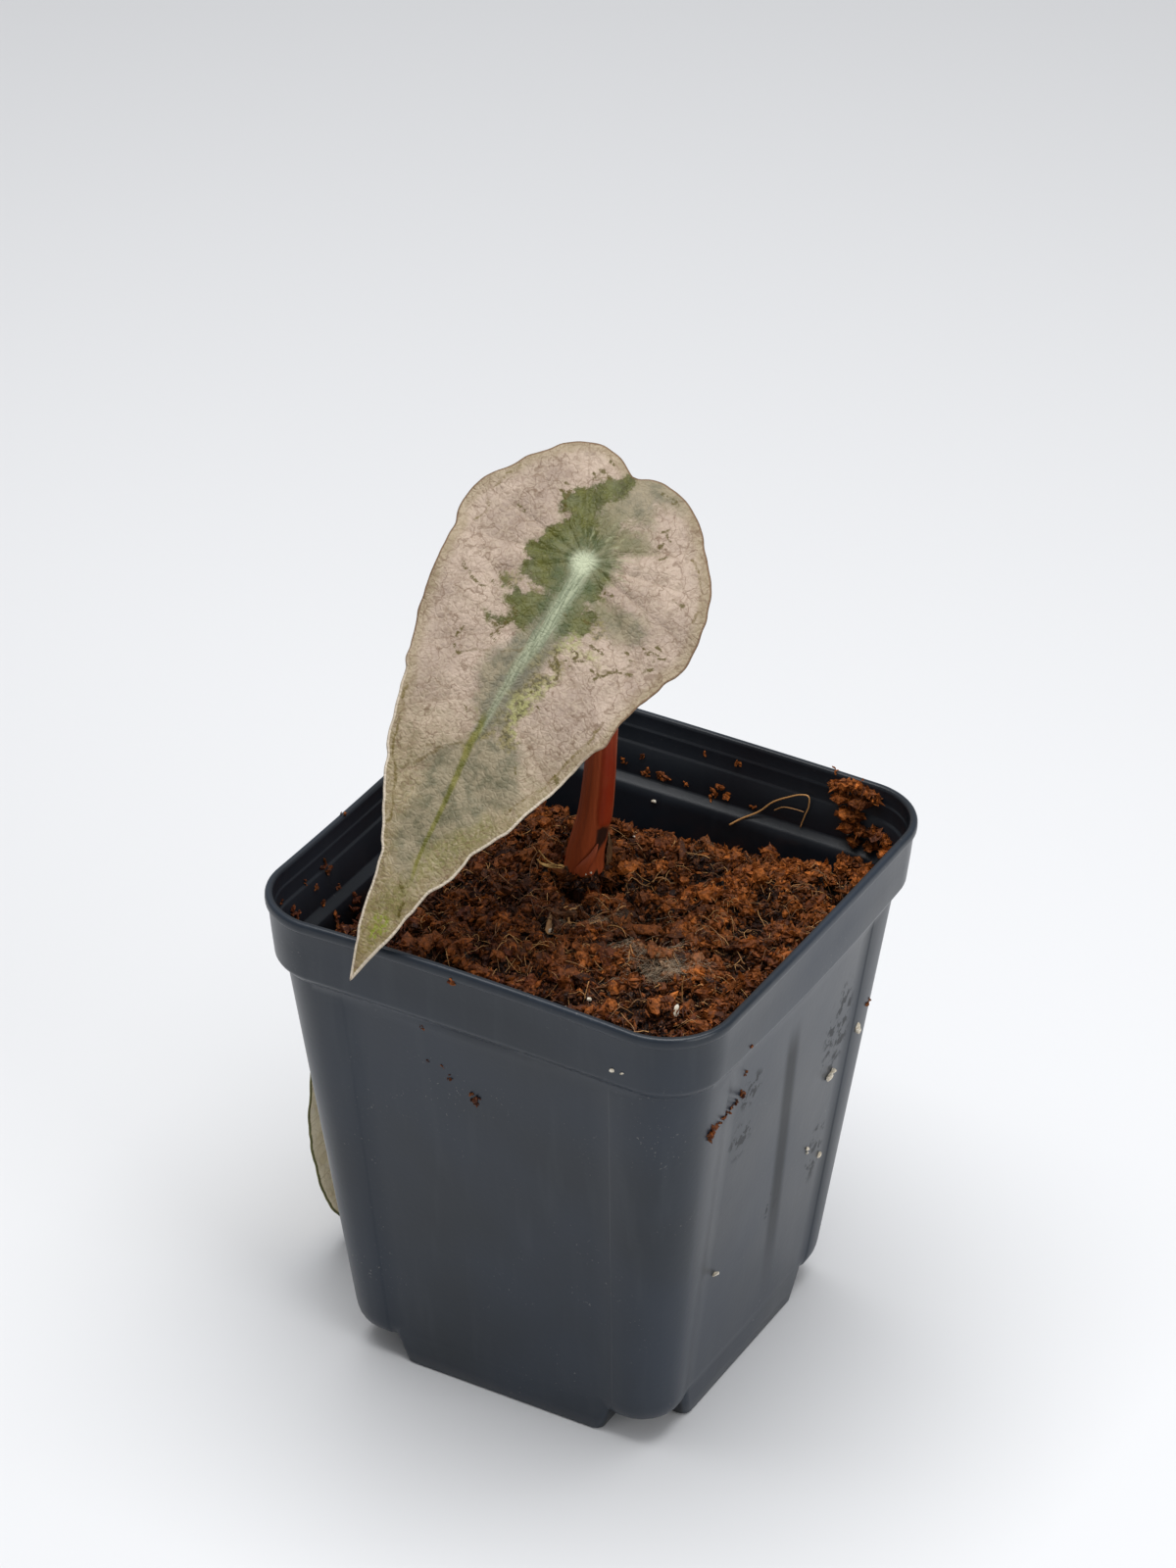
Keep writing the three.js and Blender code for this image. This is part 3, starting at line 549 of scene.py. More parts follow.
def combined(start, steps):
    """The mesh left when solids are joined to and cut from the first one, in order."""
    base = scratch_object("work_base", start)
    helpers = []
    for k, (operation, shape) in enumerate(steps):
        helper = scratch_object(f"work_{k}", shape)
        helpers.append(helper)
        modifier = base.modifiers.new(f"step_{k}", "BOOLEAN")
        modifier.operation = operation
        modifier.solver = "EXACT"
        modifier.object = helper
    view = bpy.context.evaluated_depsgraph_get()
    mesh = bpy.data.meshes.new_from_object(base.evaluated_get(view))
    for made in [base] + helpers:
        bpy.data.objects.remove(made)
    return mesh


def drain_hole(x, y):
    angle = np.arange(32) / 32 * 2 * math.pi
    ring = np.column_stack([x + DRAIN_RADIUS * np.cos(angle), y + DRAIN_RADIUS * np.sin(angle)])
    return skin([np.column_stack([ring, np.full(32, z)]) for z in (0.6, 8.6)])


# Dried water marks on the right wall: across, up and two radii, in millimetres
STAINS = ((18, 64, 6, 12), (-16.7, 72.8, 4.4, 4.2), (-17.6, 62.5, 4.6, 5), (17.5, 37, 3.6, 8),
          (1.7, 35.4, 3, 5))


def pot_material():
    look = Look("pot_plastic")
    at = look.place()
    x, y, z = (look.node("SeparateXYZ", {"Vector": at}, axis) for axis in "XYZ")
    cloud = look.noise(at, 28.0, 2.0, 0.6)
    streak = look.noise(look.stretched(at, 1.0, 1.0, 0.08), 260.0, 2.0, 0.6)
    dust = look.noise(at, 1700.0, 2.0, 0.5).up(0.67, 0.73)
    patches = look.noise(at, 60.0, 2.0, 0.6).up(0.5, 0.72)
    # Water marks, and a painted dark reflection as a band that leans down the right wall
    right = x.up(0.0300, 0.0312) * y.up(-0.028, -0.025)
    drops = look.noise(at, 420.0, 3.0, 0.65).up(0.5, 0.58)
    marks = []
    for across, height, half_wide, half_high in STAINS:
        u, v = (y - across * MM) / (half_wide * MM), (z - height * MM) / (half_high * MM)
        marks.append((u * u + v * v).down(0.35, 1.1))
    stain = marks[0]
    for mark in marks[1:]:
        stain = look.math("MAXIMUM", stain, mark)
    off_reflection_band = look.math("ABSOLUTE", y + 0.0025 - (0.077 - z) * 0.13)
    band = off_reflection_band.down(0.0008, 0.0032) * right * z.up(0.006, 0.04) * z.down(0.07, 0.08)
    # Real water marks together with the painted dark reflection band: darker and rougher
    stains_and_reflection = look.math("MAXIMUM", stain * drops * right * 0.8, band * 0.75)
    # The inner faces go towards near black: painted shade inside the pot
    base = look.mix(cloud.up(0.3, 0.7), rgb(23, 31, 40), rgb(32, 41, 53)).under(
        (streak.up(0.5, 0.8) * 0.3, (50, 56, 63)),
        (dust * patches * 0.55, (126, 124, 120)),
        (stains_and_reflection, (15, 18, 22)),
        (look.attribute("inside") * 0.6, (10, 11, 13)))
    rough = look.node("MapRange", {"Value": cloud, "From Min": 0.3, "From Max": 0.7,
                                   "To Min": 0.3, "To Max": 0.4})
    normal = look.bump(look.noise(at, 900.0, 1.0, 0.6), 0.25, 0.00006)
    normal = look.bump(look.noise(at, 90.0, 1.0), 0.3, 0.0003, normal)
    return look.shader(Base_Color=base, Roughness=rough + stains_and_reflection * 0.25, Normal=normal, IOR=1.5,
                       Specular_IOR_Level=0.42)


def build_pot():
    foot = ((0, 0.45), (0.12, 0.2), (0.4, 0.02), (3, 0), (6.4, 0.01), (9.1, 0.06))
    hollow = ((FOOT_FLOOR, 0), (4, 0), (6.5, 0))
    steps = [("UNION", foot_bar(True, 0, foot)), ("UNION", foot_bar(False, 0, foot)),
             ("DIFFERENCE", pot_inside()),
             ("DIFFERENCE", foot_bar(True, WALL, hollow)), ("DIFFERENCE", foot_bar(False, WALL, hollow))]
    for sx, sy in QUADRANTS:
        steps.append(("DIFFERENCE", drain_hole(sx * DRAIN_OFFSET, sy * DRAIN_OFFSET)))
    mesh = combined(pot_outside(), steps)
    mesh.polygons.foreach_set("use_smooth", np.ones(len(mesh.polygons), bool))
    mesh.set_sharp_from_angle(angle=math.radians(38))
    # How far each point lies in from the inner wall, which sets the painted shade inside the pot
    corners = np.empty(len(mesh.vertices) * 3, np.float32)
    mesh.vertices.foreach_get("co", corners)
    attach(mesh, "inside", np.clip((off_wall(corners.reshape(-1, 3) / MM, True)[0] + 0.45) / 0.2, 0, 1))
    piece("pot_dressed", mesh, pot_material(), "pot", ["pot"])


# Soil

def soil_height(x, y):
    rise_x, rise_y, span = SOIL_RISE
    slope = (rise_x * x + rise_y * y) / span
    edge = (np.maximum(np.abs(x), np.abs(y)) / span) ** 8
    sunk = 1 + SOIL_SHRINK_BACK * np.clip((y - x) / span, -1, 1)
    lumps = sum(h * sine_noise(x / s, y / s, k + 1) for k, (h, s) in enumerate(SOIL_LUMPS))
    hx, hy, hr, hd = HOLLOW
    hollow = hd * np.exp(-((x - hx) ** 2 + (y - hy) ** 2) / hr ** 2)
    return SOIL_LEVEL + slope - SOIL_EDGE_DROP * edge * sunk + lumps - hollow


def turned(x, y, angle):
    """Level places as seen along axes that are turned by an angle."""
    return x * math.cos(angle) + y * math.sin(angle), y * math.cos(angle) - x * math.sin(angle)


def in_crown(x, y, gap):
    u, v = turned(x - CROWN["x"], y - CROWN["y"], math.radians(CROWN["turn"]))
    return (u / (CROWN["along"] + gap)) ** 2 + (v / (CROWN["across"] + gap)) ** 2 < 1


def room(x, y, z):
    """How far a place in the soil is from the pot's inner wall."""
    return off_wall(np.column_stack([x, y, z]), True)[0]


def from_pit(x, y):
    """Distance from the middle of the hollow that is scooped out before the stem."""
    return np.hypot(x - HOLLOW[0], y - HOLLOW[1])


def relief(x, y):
    """Clumps and hollows of the loose soil."""
    flat = np.column_stack([x, y])
    calm = 1 - np.exp(-(from_pit(x, y) / 5) ** 2)
    waves = 1.5 * noise(flat, *RELIEF_COARSE) + 0.95 * noise(flat, *RELIEF_FINE)
    return calm * waves - 0.9 - 0.9 * (1 - calm)


def loose_top(x, y):
    """Height of the loose soil's surface."""
    return soil_height(x, y) + relief(x, y)


def laid(path):
    """A path over the soil from places across and how high each is above it."""
    x, y, lift = np.array(path, float).T
    return np.column_stack([x, y, loose_top(x, y) + lift])


# Grey mould: place, reach along and into the view, strength, number of threads
MOULD = ((22.8, -15.0, 4.4, 2.6, 0.8, 240), (16.0, -10.5, 4.0, 1.6, 0.5, 120),
         (1.0, -5.0, 6.0, 2.6, 0.35, 60), (5.0, 36.5, 3.0, 2.0, 0.4, 40))


def mould_at(x, y):
    """How mouldy the soil is."""
    most = np.zeros(len(x))
    for cx, cy, across, deep, strength, _ in MOULD:
        u, v = turned(x - cx, y - cy, VIEW_TURN)
        most = np.maximum(most, strength * np.exp(-((u / across) ** 2 + (v / deep) ** 2)))
    return most


def soil_material():
    look = Look("coir")
    at = look.place()
    tone = look.attribute("tone")
    grain = look.noise(at, 900.0, 2.0, 0.65)
    fine = look.noise(at, 2600.0, 1.0, 0.6)
    # Tone and warmth per point pick darker or brighter colours: random tone, with the grains' painted shade and
    # painted light
    dark = look.mix(tone, rgb(14, 6, 4), rgb(86, 40, 21))
    bright = look.mix(tone, rgb(42, 17, 7), rgb(188, 106, 42))
    base = look.mix(look.attribute("warm"), dark, bright)
    # Painted shade in the gaps: near black where the grain noise is low, where its bump also sinks
    base = look.mix(grain.up(0.35, 0.7), base.under((0.6, (10, 4, 3))), base).under(
        (fine.up(0.58, 0.75) * 0.3, (196, 122, 62)),
        (look.attribute("mould") * fine.up(0.2, 0.6), (146, 124, 98)))
    normal = look.bump(fine, 0.6, 0.0002, look.bump(grain, 0.9, 0.0005))
    return look.shader(Base_Color=base, Roughness=0.6, Normal=normal, Specular_IOR_Level=0.18)


def icosphere(subdivisions):
    ball = bmesh.new()
    bmesh.ops.create_icosphere(ball, subdivisions=subdivisions, radius=1.0)
    points = np.array([v.co for v in ball.verts])
    faces = np.array([[v.index for v in f.verts] for f in ball.faces])
    ball.free()
    return points, faces


OCTAHEDRON = (np.array([(1, 0, 0), (0, 1, 0), (-1, 0, 0), (0, -1, 0), (0, 0, 1), (0, 0, -1)], float),
              np.array([(0, 1, 4), (1, 2, 4), (2, 3, 4), (3, 0, 4),
                        (1, 0, 5), (2, 1, 5), (3, 2, 5), (0, 3, 5)]))


def turns(random, count, tilt):
    """Turning matrices: any way round in the level, tilted out of it by about the angle tilt."""
    a = random.uniform(0, 2 * math.pi, count)
    b, c = random.normal(0, tilt, (2, count))
    zero, one = np.zeros(count), np.ones(count)
    about_z = [np.cos(a), -np.sin(a), zero, np.sin(a), np.cos(a), zero, zero, zero, one]
    about_x = [one, zero, zero, zero, np.cos(b), -np.sin(b), zero, np.sin(b), np.cos(b)]
    about_y = [np.cos(c), zero, np.sin(c), zero, one, zero, -np.sin(c), zero, np.cos(c)]
    z, x, y = (np.stack(turn, -1).reshape(count, 3, 3) for turn in (about_z, about_x, about_y))
    return z @ x @ y


def grains(random, shape, centres, sizes, tilt=0.5, rough=0.34, thin=(0.45, 0.85), long=0.9):
    """Irregular lumps of the given sizes around their centres."""
    base, faces = shape
    n, corners = len(centres), len(base)
    offset = random.uniform(0, 90, (n, 1, 3))
    swell = 1
    for power, closeness, seed in ((1, 1.4, 3), (0.6, 3.1, 4)):
        waves = noise((base[None] * closeness + offset).reshape(-1, 3), 1.0, seed)
        swell = swell + rough * power * waves.reshape(n, corners, 1)
    stretch = [1 + long * random.random(n) ** 2, random.uniform(0.6, 1, n), random.uniform(*thin, n)]
    stretch = np.column_stack(stretch)
    stretch /= stretch.prod(1, keepdims=True) ** (1 / 3)
    points = base[None] * swell * stretch[:, None] * np.asarray(sizes)[:, None, None] / 2
    points = np.einsum("nij,nkj->nki", turns(random, n, tilt), points) + np.asarray(centres)[:, None]
    all_faces = faces[None] + (np.arange(n) * corners)[:, None, None]
    return points.reshape(-1, 3), all_faces.reshape(-1, 3)


def strewn(random, count, clear, pit=0.0):
    """Random places on the loose soil, inside the pot and clear of the stem base and the hollow before it."""
    x, y = random.uniform(-STREWN_HALF, STREWN_HALF, (count * 2, 2)).T
    z = loose_top(x, y)
    keep = (room(x, y, z) > 0.5) & ~in_crown(x, y, clear) & (from_pit(x, y) > pit)
    return np.column_stack([x, y, z])[keep][:count]


def shades(random, at):
    """Tone and warmth of grains, with painted shade in hollows and low down, and painted light that makes the
    right and the back brighter and more golden.
    """
    x, y, z = at.T
    flat = np.column_stack([x, y])
    # Painted shade: grains below the loose surface and in its hollows are darker, besides noise
    high = np.clip((z - loose_top(x, y)) * 0.16, -0.3, 0.3)
    tone = 0.52 + high + 0.3 * (relief(x, y) + 0.4) + 0.2 * noise(flat, 3.0, 53)
    # Painted light: brighter and more golden towards the right and the back, besides noise
    warm = 0.42 + 0.005 * (x + 0.6 * y) + 0.3 * noise(flat, 8.0, 54)
    return [np.clip(value + random.normal(0, SHADE_SPREAD, len(at)), 0, 1) for value in (tone, warm)]


def add_grains(heap, random, shape, centres, sizes, lighter=0.0, inside=True, **form):
    """Grains with their shades, kept inside the pot unless they stick to its outside."""
    points, faces = grains(random, shape, centres, sizes, **form)
    tone, warm = shades(random, centres)
    mould = mould_at(centres[:, 0], centres[:, 1]) * random.uniform(0.4, 1.2, len(centres))
    mould = mould * (centres[:, 2] > 80)
    corners = len(shape[0])
    tone = np.clip(tone + lighter, 0, 1)
    heap.add(kept_in(points) if inside else points, faces, tone=np.repeat(tone, corners),
             warm=np.repeat(warm, corners), mould=np.repeat(mould, corners))


def around(random, centres, sizes, each):
    """Places on the upper sides of lumps, for the flakes that cling to them."""
    centres = np.repeat(centres, each, 0)
    sizes = np.repeat(sizes, each)
    way = random.normal(0, 1, (len(centres), 3))
    way[:, 2] = np.abs(way[:, 2]) * 0.9
    way /= np.linalg.norm(way, axis=1)[:, None]
    return centres + way * (sizes * random.uniform(0.34, 0.62, len(sizes)))[:, None] * [1.1, 1.1, 0.8]


# The heap of coir against the back wall: centres of its lumps
HEAP = rows(3, 248,420,964, 267,420,970, 287,421,974, 310,420,970, 262,416,946, 284,416,943, 307,416,949,
    326,412,960, 272,410,919, 293,410,916, 283,404,894, 309,404,894, 335,401,898, 354,392,893,
    296,396,868, 328,394,870, 358,382,872, 318,382,847, 346,374,846, 294,384,842, 330,360,839,
    368,356,850, 376,334,844, 300,362,836, 354,330,846)
# Loose coir stuck to the walls: place, size
CLINGING = rows(4,
    -176,420,885,12, -91,420,877,15, -104,420,875,11, 12,419,871,15, 29,420,886,18, 1,415,862,12,
    49,430,942,11, -48,420,875,9, -129,420,877,13, -142,423,905,9, 88,419,873,10, -271,420,886,10,
    -15,430,942,7, -425,-203,924,22, -422,-189,918,12, -426,-262,930,8, -422,-316,902,14,
    -420,-303,887,15, -416,-222,865,10, -396,-209,834,16, -396,-157,832,26, -426,-337,931,8,
    -416,-169,869,10, -421,-236,905,10, -434,-120,986,8, 240,443,985,9, -32,-441,966,13, -7,-399,701,17,
    -5,-398,692,10, -103,-416,831,9, -100,-415,824,6, -55,-403,731,8, -98,-405,754,5, -69,-405,754,5,
    440,-237,872,9, 415,-202,787,7, 390,312,620,13, 384,384,803,9, 403,-313,721,19, 404,-300,725,15,
    405,-286,728,9, 405,-267,730,10, 405,-252,730,8, 405,-237,731,11, 407,-219,736,9, 409,-203,744,12,
    408,-209,752,6)
# Splinters of bark: both ends with their height over the soil, width and thickness
CHIPS = (((4.6, -2.6, 0.9), (9.6, -2.2, 1.1), 2.3, 1.0), ((8.6, -2.4, 0.7), (14.4, -1.2, 0.6), 2.6, 1.1),
         ((-8.4, -8.0, 0.6), (-5.6, -9.4, 0.6), 1.6, 0.9))
FLAKE = {"tilt": 3.0, "rough": 0.5}
# White grains: place, size
PERLITE = rows(4, 389,272,584,14, 389,279,576,9, 383,179,534,16, 384,189,540,11, 366,137,396,8, 365,140,384,6,
    357,202,338,9, 357,-188,327,11, 282,-438,890,7, 301,-439,891,5, -87,305,828,9, -71,291,828,10,
    318,-281,928,12, -100,398,834,7, 281,416,880,7, 126,-321,922,7, -69,89,865,5, -60,96,867,5,
    30,210,856,7, -200,-120,874,6, 160,-300,916,7, -31,-94,879,9)


def perlite_material():
    look = Look("perlite")
    grain = look.noise(look.place(), 2400.0, 3.0, 0.6)
    base = look.mix(grain.up(0.35, 0.7), rgb(186, 174, 152), rgb(226, 220, 206))
    return look.shader(Base_Color=base, Roughness=0.5, Normal=look.bump(grain, 0.8, 0.0002))


def strand_material(name, low, high, rough):
    look = Look(name)
    spots = look.noise(look.place(), 700.0, 3.0, 0.6)
    base = look.mix(look.attribute("tone"), rgb(*low), rgb(*high))
    base = base.under((spots.up(0.5, 0.75) * 0.35, (70, 42, 24)))
    return look.shader(Base_Color=base, Roughness=rough, Normal=look.bump(spots, 0.5, 0.0001))


def chip(random, start, end, wide, thick):
    """A splinter of bark between two places."""
    base, faces = icosphere(2)
    start, end = np.array(start), np.array(end)
    along = (end - start) / 2
    side = np.cross((0, 0, 1), along)
    up = np.cross(along, side)
    axes = np.array([along, side * wide / 2 / np.linalg.norm(side), up * thick / 2 / np.linalg.norm(up)])
    blunt = np.sign(base) * np.abs(base) ** 0.7
    rough = 1 + 0.3 * noise(base * 1.6 + random.uniform(0, 50, 3), 1.0, 3)[:, None]
    return (start + end) / 2 + (blunt * rough) @ axes, faces


def strand(random, start, heading, length, lift, bend):
    """A curved strand that starts and ends low over the soil."""
    t = np.linspace(0, 1, 7)
    angle = heading + bend * (t - 0.5)
    step = length / 6
    x = start[0] + np.cumsum(np.cos(angle)) * step
    y = start[1] + np.cumsum(np.sin(angle)) * step
    z = loose_top(x, y) + 0.35 + lift * np.sin(math.pi * t) + random.normal(0, 0.12, 7)
    return np.column_stack([x, y, z])


def build_fibres(random):
    fibres = Heap()
    for start in strewn(random, 900, 0.6):
        length = random.uniform(1.5, 6.5) * (1 if random.random() < 0.85 else 1.6)
        line = strand(random, start, random.uniform(0, 6.28), length, random.uniform(0, 1.2),
                      random.normal(0, 1.3))
        if (room(*line.T) < 0.5).any() or in_crown(line[:, 0], line[:, 1], 0.3).any():
            continue
        radius = random.uniform(0.05, 0.11)
        fibres.add(*tube(line, lambda s: radius * (1 - 0.5 * s), 4), tone=random.random() ** 1.5)
    # The looped root on the back wall, a bent pale root, a dry skin, and a hair that stands up
    loop = [(5.6, 39.6, 83.6), (7.4, 40.4, 85), (10.5, 41.5, 87), (13, 41.9, 89.6), (15.7, 42.0, 91.4),
            (18.4, 42.1, 92.8), (20, 42.1, 93), (20.2, 41.9, 91), (19.6, 41.8, 89.1), (18.8, 41.6, 86.3)]
    fibres.add(*tube(smooth_path(loop, 5), lambda s: 0.18 - 0.06 * s, 8, 60), tone=0.8)
    second = [(13.5, 41.6, 88.2), (15.2, 41.6, 89.4), (17.3, 41.4, 89.9), (19.4, 41.6, 89.8)]
    fibres.add(*tube(smooth_path(second, 5), lambda s: 0.13 - 0.04 * s, 6, 24), tone=0.5)
    bent = laid([(-2.4, -1.6, 0.5), (-3.2, -2.6, 0.7), (-2.2, -5.0, 0.9), (-0.2, -6.8, 1.0), (1.6, -7.0, 1.0),
                 (3.5, -4.2, 0.7)])
    fibres.add(*tube(smooth_path(bent, 6), lambda s: 0.2 + 0.12 * s, 8, 40), tone=0.6)
    skin_of_root = laid([(-2.8, -10.0, 0.2), (-4.0, -7.6, 0.8), (-4.8, -5.3, 1.1), (-4.6, -3.4, 0.7)])
    fibres.add(*ribbon(skin_of_root, 1.3, 0.12), tone=0.6)
    hair = laid([(30.2, -23.4, 0)]) + [(0, 0, -0.3), (0.1, 0.1, 2.0), (0.0, 0.2, 4.2), (0.3, 0.3, 6.2)]
    fibres.add(*tube(smooth_path(hair, 4), lambda s: 0.09 - 0.03 * s, 5, 14), tone=1.0)
    fibres.piece("soil_fibres", True, strand_material("fibre", (70, 34, 17), (196, 146, 88), 0.6), "soil")

    web = Heap()
    for cx, cy, across, deep, _, count in MOULD:
        for k in range(count):
            u, v = random.normal(0, 0.7, 2) * [across, deep]
            start = (cx + u * math.cos(VIEW_TURN) - v * math.sin(VIEW_TURN),
                     cy + u * math.sin(VIEW_TURN) + v * math.cos(VIEW_TURN))
            heading = VIEW_TURN + random.normal(0, 0.7) + math.pi * (k % 2)
            line = strand(random, start, heading, random.uniform(2, 7), random.uniform(0.1, 0.9),
                          random.normal(0, 0.8))
            bridge = np.linspace(line[0, 2], line[-1, 2], 7)
            line[:, 2] = np.maximum(line[:, 2], bridge) + 0.25
            if (room(*line.T) > 0.8).all():
                radius = random.uniform(0.009, 0.018)
                web.add(*tube(line, lambda s: radius + 0 * s, 3), tone=random.random())
    web.piece("soil_web", True, strand_material("web", (142, 122, 98), (196, 180, 156), 0.8), "soil")


def build_soil():
    material = soil_material()
    axis = np.arange(-BED_HALF, BED_HALF + 0.01, BED_STEP)
    x, y = np.meshgrid(axis, axis, indexing="ij")
    flat = np.column_stack([x.ravel(), y.ravel()])
    z = loose_top(flat[:, 0], flat[:, 1]) - 0.75
    out = room(flat[:, 0], flat[:, 1], z) < 0
    z += 0.6 * noise(flat, 1.5, 11) + 0.35 * noise(flat, 0.8, 12)
    z[in_crown(flat[:, 0], flat[:, 1], 0.1)] -= 3
    n = len(axis)
    i, j = np.meshgrid(np.arange(n - 1), np.arange(n - 1), indexing="ij")
    a = (i * n + j).ravel()
    quads = np.column_stack([a, a + n, a + n + 1, a + 1])
    quads = quads[~out[quads].any(1)]
    bed = mesh_from("soil_bed", np.column_stack([flat, z]), quads)
    # The bed is kept dark: painted shade in the gaps between the lumps, with random tone
    attach(bed, "tone", np.clip(0.06 + 0.2 * noise(flat, 2.0, 13), 0, 1))
    attach(bed, "warm", np.clip(0.1 + 0.2 * noise(flat, 9.0, 8), 0, 1))
    piece("soil_bed", bed, material, "soil", ["soil"])

    ball, lump = icosphere(2), icosphere(1)
    random = np.random.default_rng(SOIL_SEED)
    # Lumps gather where the soil stands high
    at = strewn(random, LUMPS_TRIED, 0.6, 4.2)
    rise = noise(at[:, :2], *RELIEF_COARSE) + 0.6 * noise(at[:, :2], *RELIEF_FINE)
    at = at[rise + random.normal(0, 0.25, len(at)) > -0.1][:LUMPS]
    size = 1.0 + 1.9 * random.random(len(at)) ** 1.9
    at[:, 2] += size * random.uniform(-0.15, 0.25, len(at))
    heap_at = np.array(HEAP)
    heap_size = random.uniform(1.6, 2.7, len(HEAP))
    depth, way = off_wall(heap_at, True)
    on_back = heap_at[:, 2] > 85.5
    heap_at[on_back, :2] += (way * (depth - 0.3 * heap_size)[:, None])[on_back]
    lumps = Heap()
    add_grains(lumps, random, ball, at, size, rough=0.6)
    add_grains(lumps, random, ball, heap_at, heap_size, rough=0.65, lighter=0.16)
    for start, end, wide, thick in CHIPS:
        lumps.add(*chip(random, *laid([start, end]), wide, thick), tone=0.62, warm=0.5, mould=0.0)
    lumps.piece("soil_lumps", False, material, "soil")

    flakes = Heap()
    cling = around(random, at, size, 8)
    cling = cling[room(*cling.T) > 0.2]
    add_grains(flakes, random, OCTAHEDRON, cling, random.uniform(0.4, 1.15, len(cling)), thin=(0.18, 0.45),
               lighter=0.08, **FLAKE)
    cling = around(random, heap_at, heap_size, 40)
    add_grains(flakes, random, OCTAHEDRON, cling, random.uniform(0.4, 1.3, len(cling)), thin=(0.18, 0.45),
               lighter=0.2, **FLAKE)
    flakes.piece("soil_flakes", False, material, "soil")

    crumbs = Heap()
    low = strewn(random, CRUMBS, 0.4, 2.6)
    low[:, 2] += random.uniform(-0.7, 0.35, len(low))
    add_grains(crumbs, random, lump, low, random.uniform(0.45, 1.2, len(low)), tilt=1.0, rough=0.5, long=1.4)
    crumbs.piece("soil_crumbs", False, material, "soil")

    dust = Heap()
    low = strewn(random, DUST_GRAINS, 0.0)
    low[:, 2] += random.uniform(-0.5, 0.8, len(low))
    add_grains(dust, random, OCTAHEDRON, low, random.uniform(0.35, 1.0, len(low)), thin=(0.2, 0.5),
               lighter=0.04, long=1.6, **FLAKE)
    ring = random.uniform(0, 2 * math.pi, FOOT_GRAINS)
    reach = crown_radius(ring) + random.uniform(-0.3, 1.3, FOOT_GRAINS)
    foot = np.column_stack([CROWN["x"] + reach * np.cos(ring), CROWN["y"] + reach * np.sin(ring),
                            random.uniform(83.6, 86.2, FOOT_GRAINS)])
    add_grains(dust, random, OCTAHEDRON, foot, random.uniform(0.6, 1.7, FOOT_GRAINS), thin=(0.2, 0.5),
               lighter=-0.25, long=1.6, **FLAKE)
    dust.piece("soil_dust", False, material, "soil")

    stuck = Heap()
    clinging = np.repeat(CLINGING, GRAINS_EACH_BIT, 0)
    sizes = clinging[:, 3] * random.uniform(0.3, 0.62, len(clinging))
    spread = random.normal(0, 0.3, (len(clinging), 3)) * clinging[:, 3:]
    add_grains(stuck, random, lump, on_wall(clinging[:, :3] + spread, sizes), sizes, tilt=3.0, rough=0.55,
               thin=(0.3, 0.7), lighter=0.45, inside=False)
    stuck.piece("stuck_coir", False, material, "soil")
    white = Heap()
    places, sizes = np.array(PERLITE)[:, :3], np.array(PERLITE)[:, 3]
    by_wall = (np.abs(off_wall(places, True)[0]) < 1.6) | (off_wall(places, False)[0] < 1.6)
    on_soil = ~by_wall & ~in_crown(places[:, 0], places[:, 1], 1.5)
    places[on_soil, 2] = loose_top(places[on_soil, 0], places[on_soil, 1]) + 0.5
    places[by_wall] = on_wall(places[by_wall], sizes[by_wall])
    points, faces = grains(random, ball, places, sizes, tilt=1.0, rough=0.35)
    white.add(points, faces)
    white.piece("perlite", False, perlite_material(), "soil")
    build_fibres(random)


# Blades

def blade_axes(leaf):
    """A blade's origin and its unit vectors across, to the tip and out of the upper face."""
    origin = np.array(leaf["at"], float)
    to_tip = np.array(leaf["tip"], float) - origin
    to_tip /= np.linalg.norm(to_tip)
    across = np.array(leaf["across"], float)
    across -= to_tip * (across @ to_tip)
    across /= np.linalg.norm(across)
    return origin, across, to_tip, np.cross(across, to_tip)


def blade_height(leaf, x, y):
    """How far the blade's middle layer stands out of its flat plane."""
    along = y / leaf["length"]
    arch = 4 * leaf["arch"] * along * (1 - along)
    low = 1 / (1 + np.exp((leaf["foldFrom"] - y) / 8))
    side = np.abs(x) / leaf["half"]
    fold = leaf["fold"] * low * (2 * side) ** 1.5
    droop = leaf["droop"] * (1 - low) * side ** 2
    wave = leaf["wave"] * side ** 2 * np.sin(2 * math.pi * (y - 6 * np.sign(x)) / leaf["wavelength"])
    return arch + fold - droop + wave


def distance_to_line(flat, line):
    """Distance of each point to a polyline, and the share of the way along it."""
    line = np.asarray(line, float)
    best = np.full(len(flat), 1e9)
    where = np.zeros(len(flat))
    steps = np.r_[0, np.cumsum(np.linalg.norm(np.diff(line, axis=0), axis=1))]
    for k, (a, b) in enumerate(zip(line[:-1], line[1:])):
        d = b - a
        t = np.clip(((flat - a) @ d) / max(d @ d, 1e-9), 0, 1)
        gap = np.linalg.norm(flat - a - t[:, None] * d, axis=1)
        closer = gap < best
        best = np.where(closer, gap, best)
        where = np.where(closer, (steps[k] + t * (steps[k + 1] - steps[k])) / steps[-1], where)
    return best, where


def inside_depth(flat, outline):
    """Distance to an outline, positive inside it."""
    ring = np.asarray(outline, float)
    gap, _ = distance_to_line(flat, np.vstack([ring, ring[:1]]))
    inside = np.zeros(len(flat), bool)
    for a, b in zip(ring, np.roll(ring, -1, axis=0)):
        crosses = (a[1] > flat[:, 1]) != (b[1] > flat[:, 1])
        rise = b[1] - a[1] if b[1] != a[1] else 1e-9
        inside ^= crosses & (flat[:, 0] < (b[0] - a[0]) * (flat[:, 1] - a[1]) / rise + a[0])
    return np.where(inside, gap, -gap)


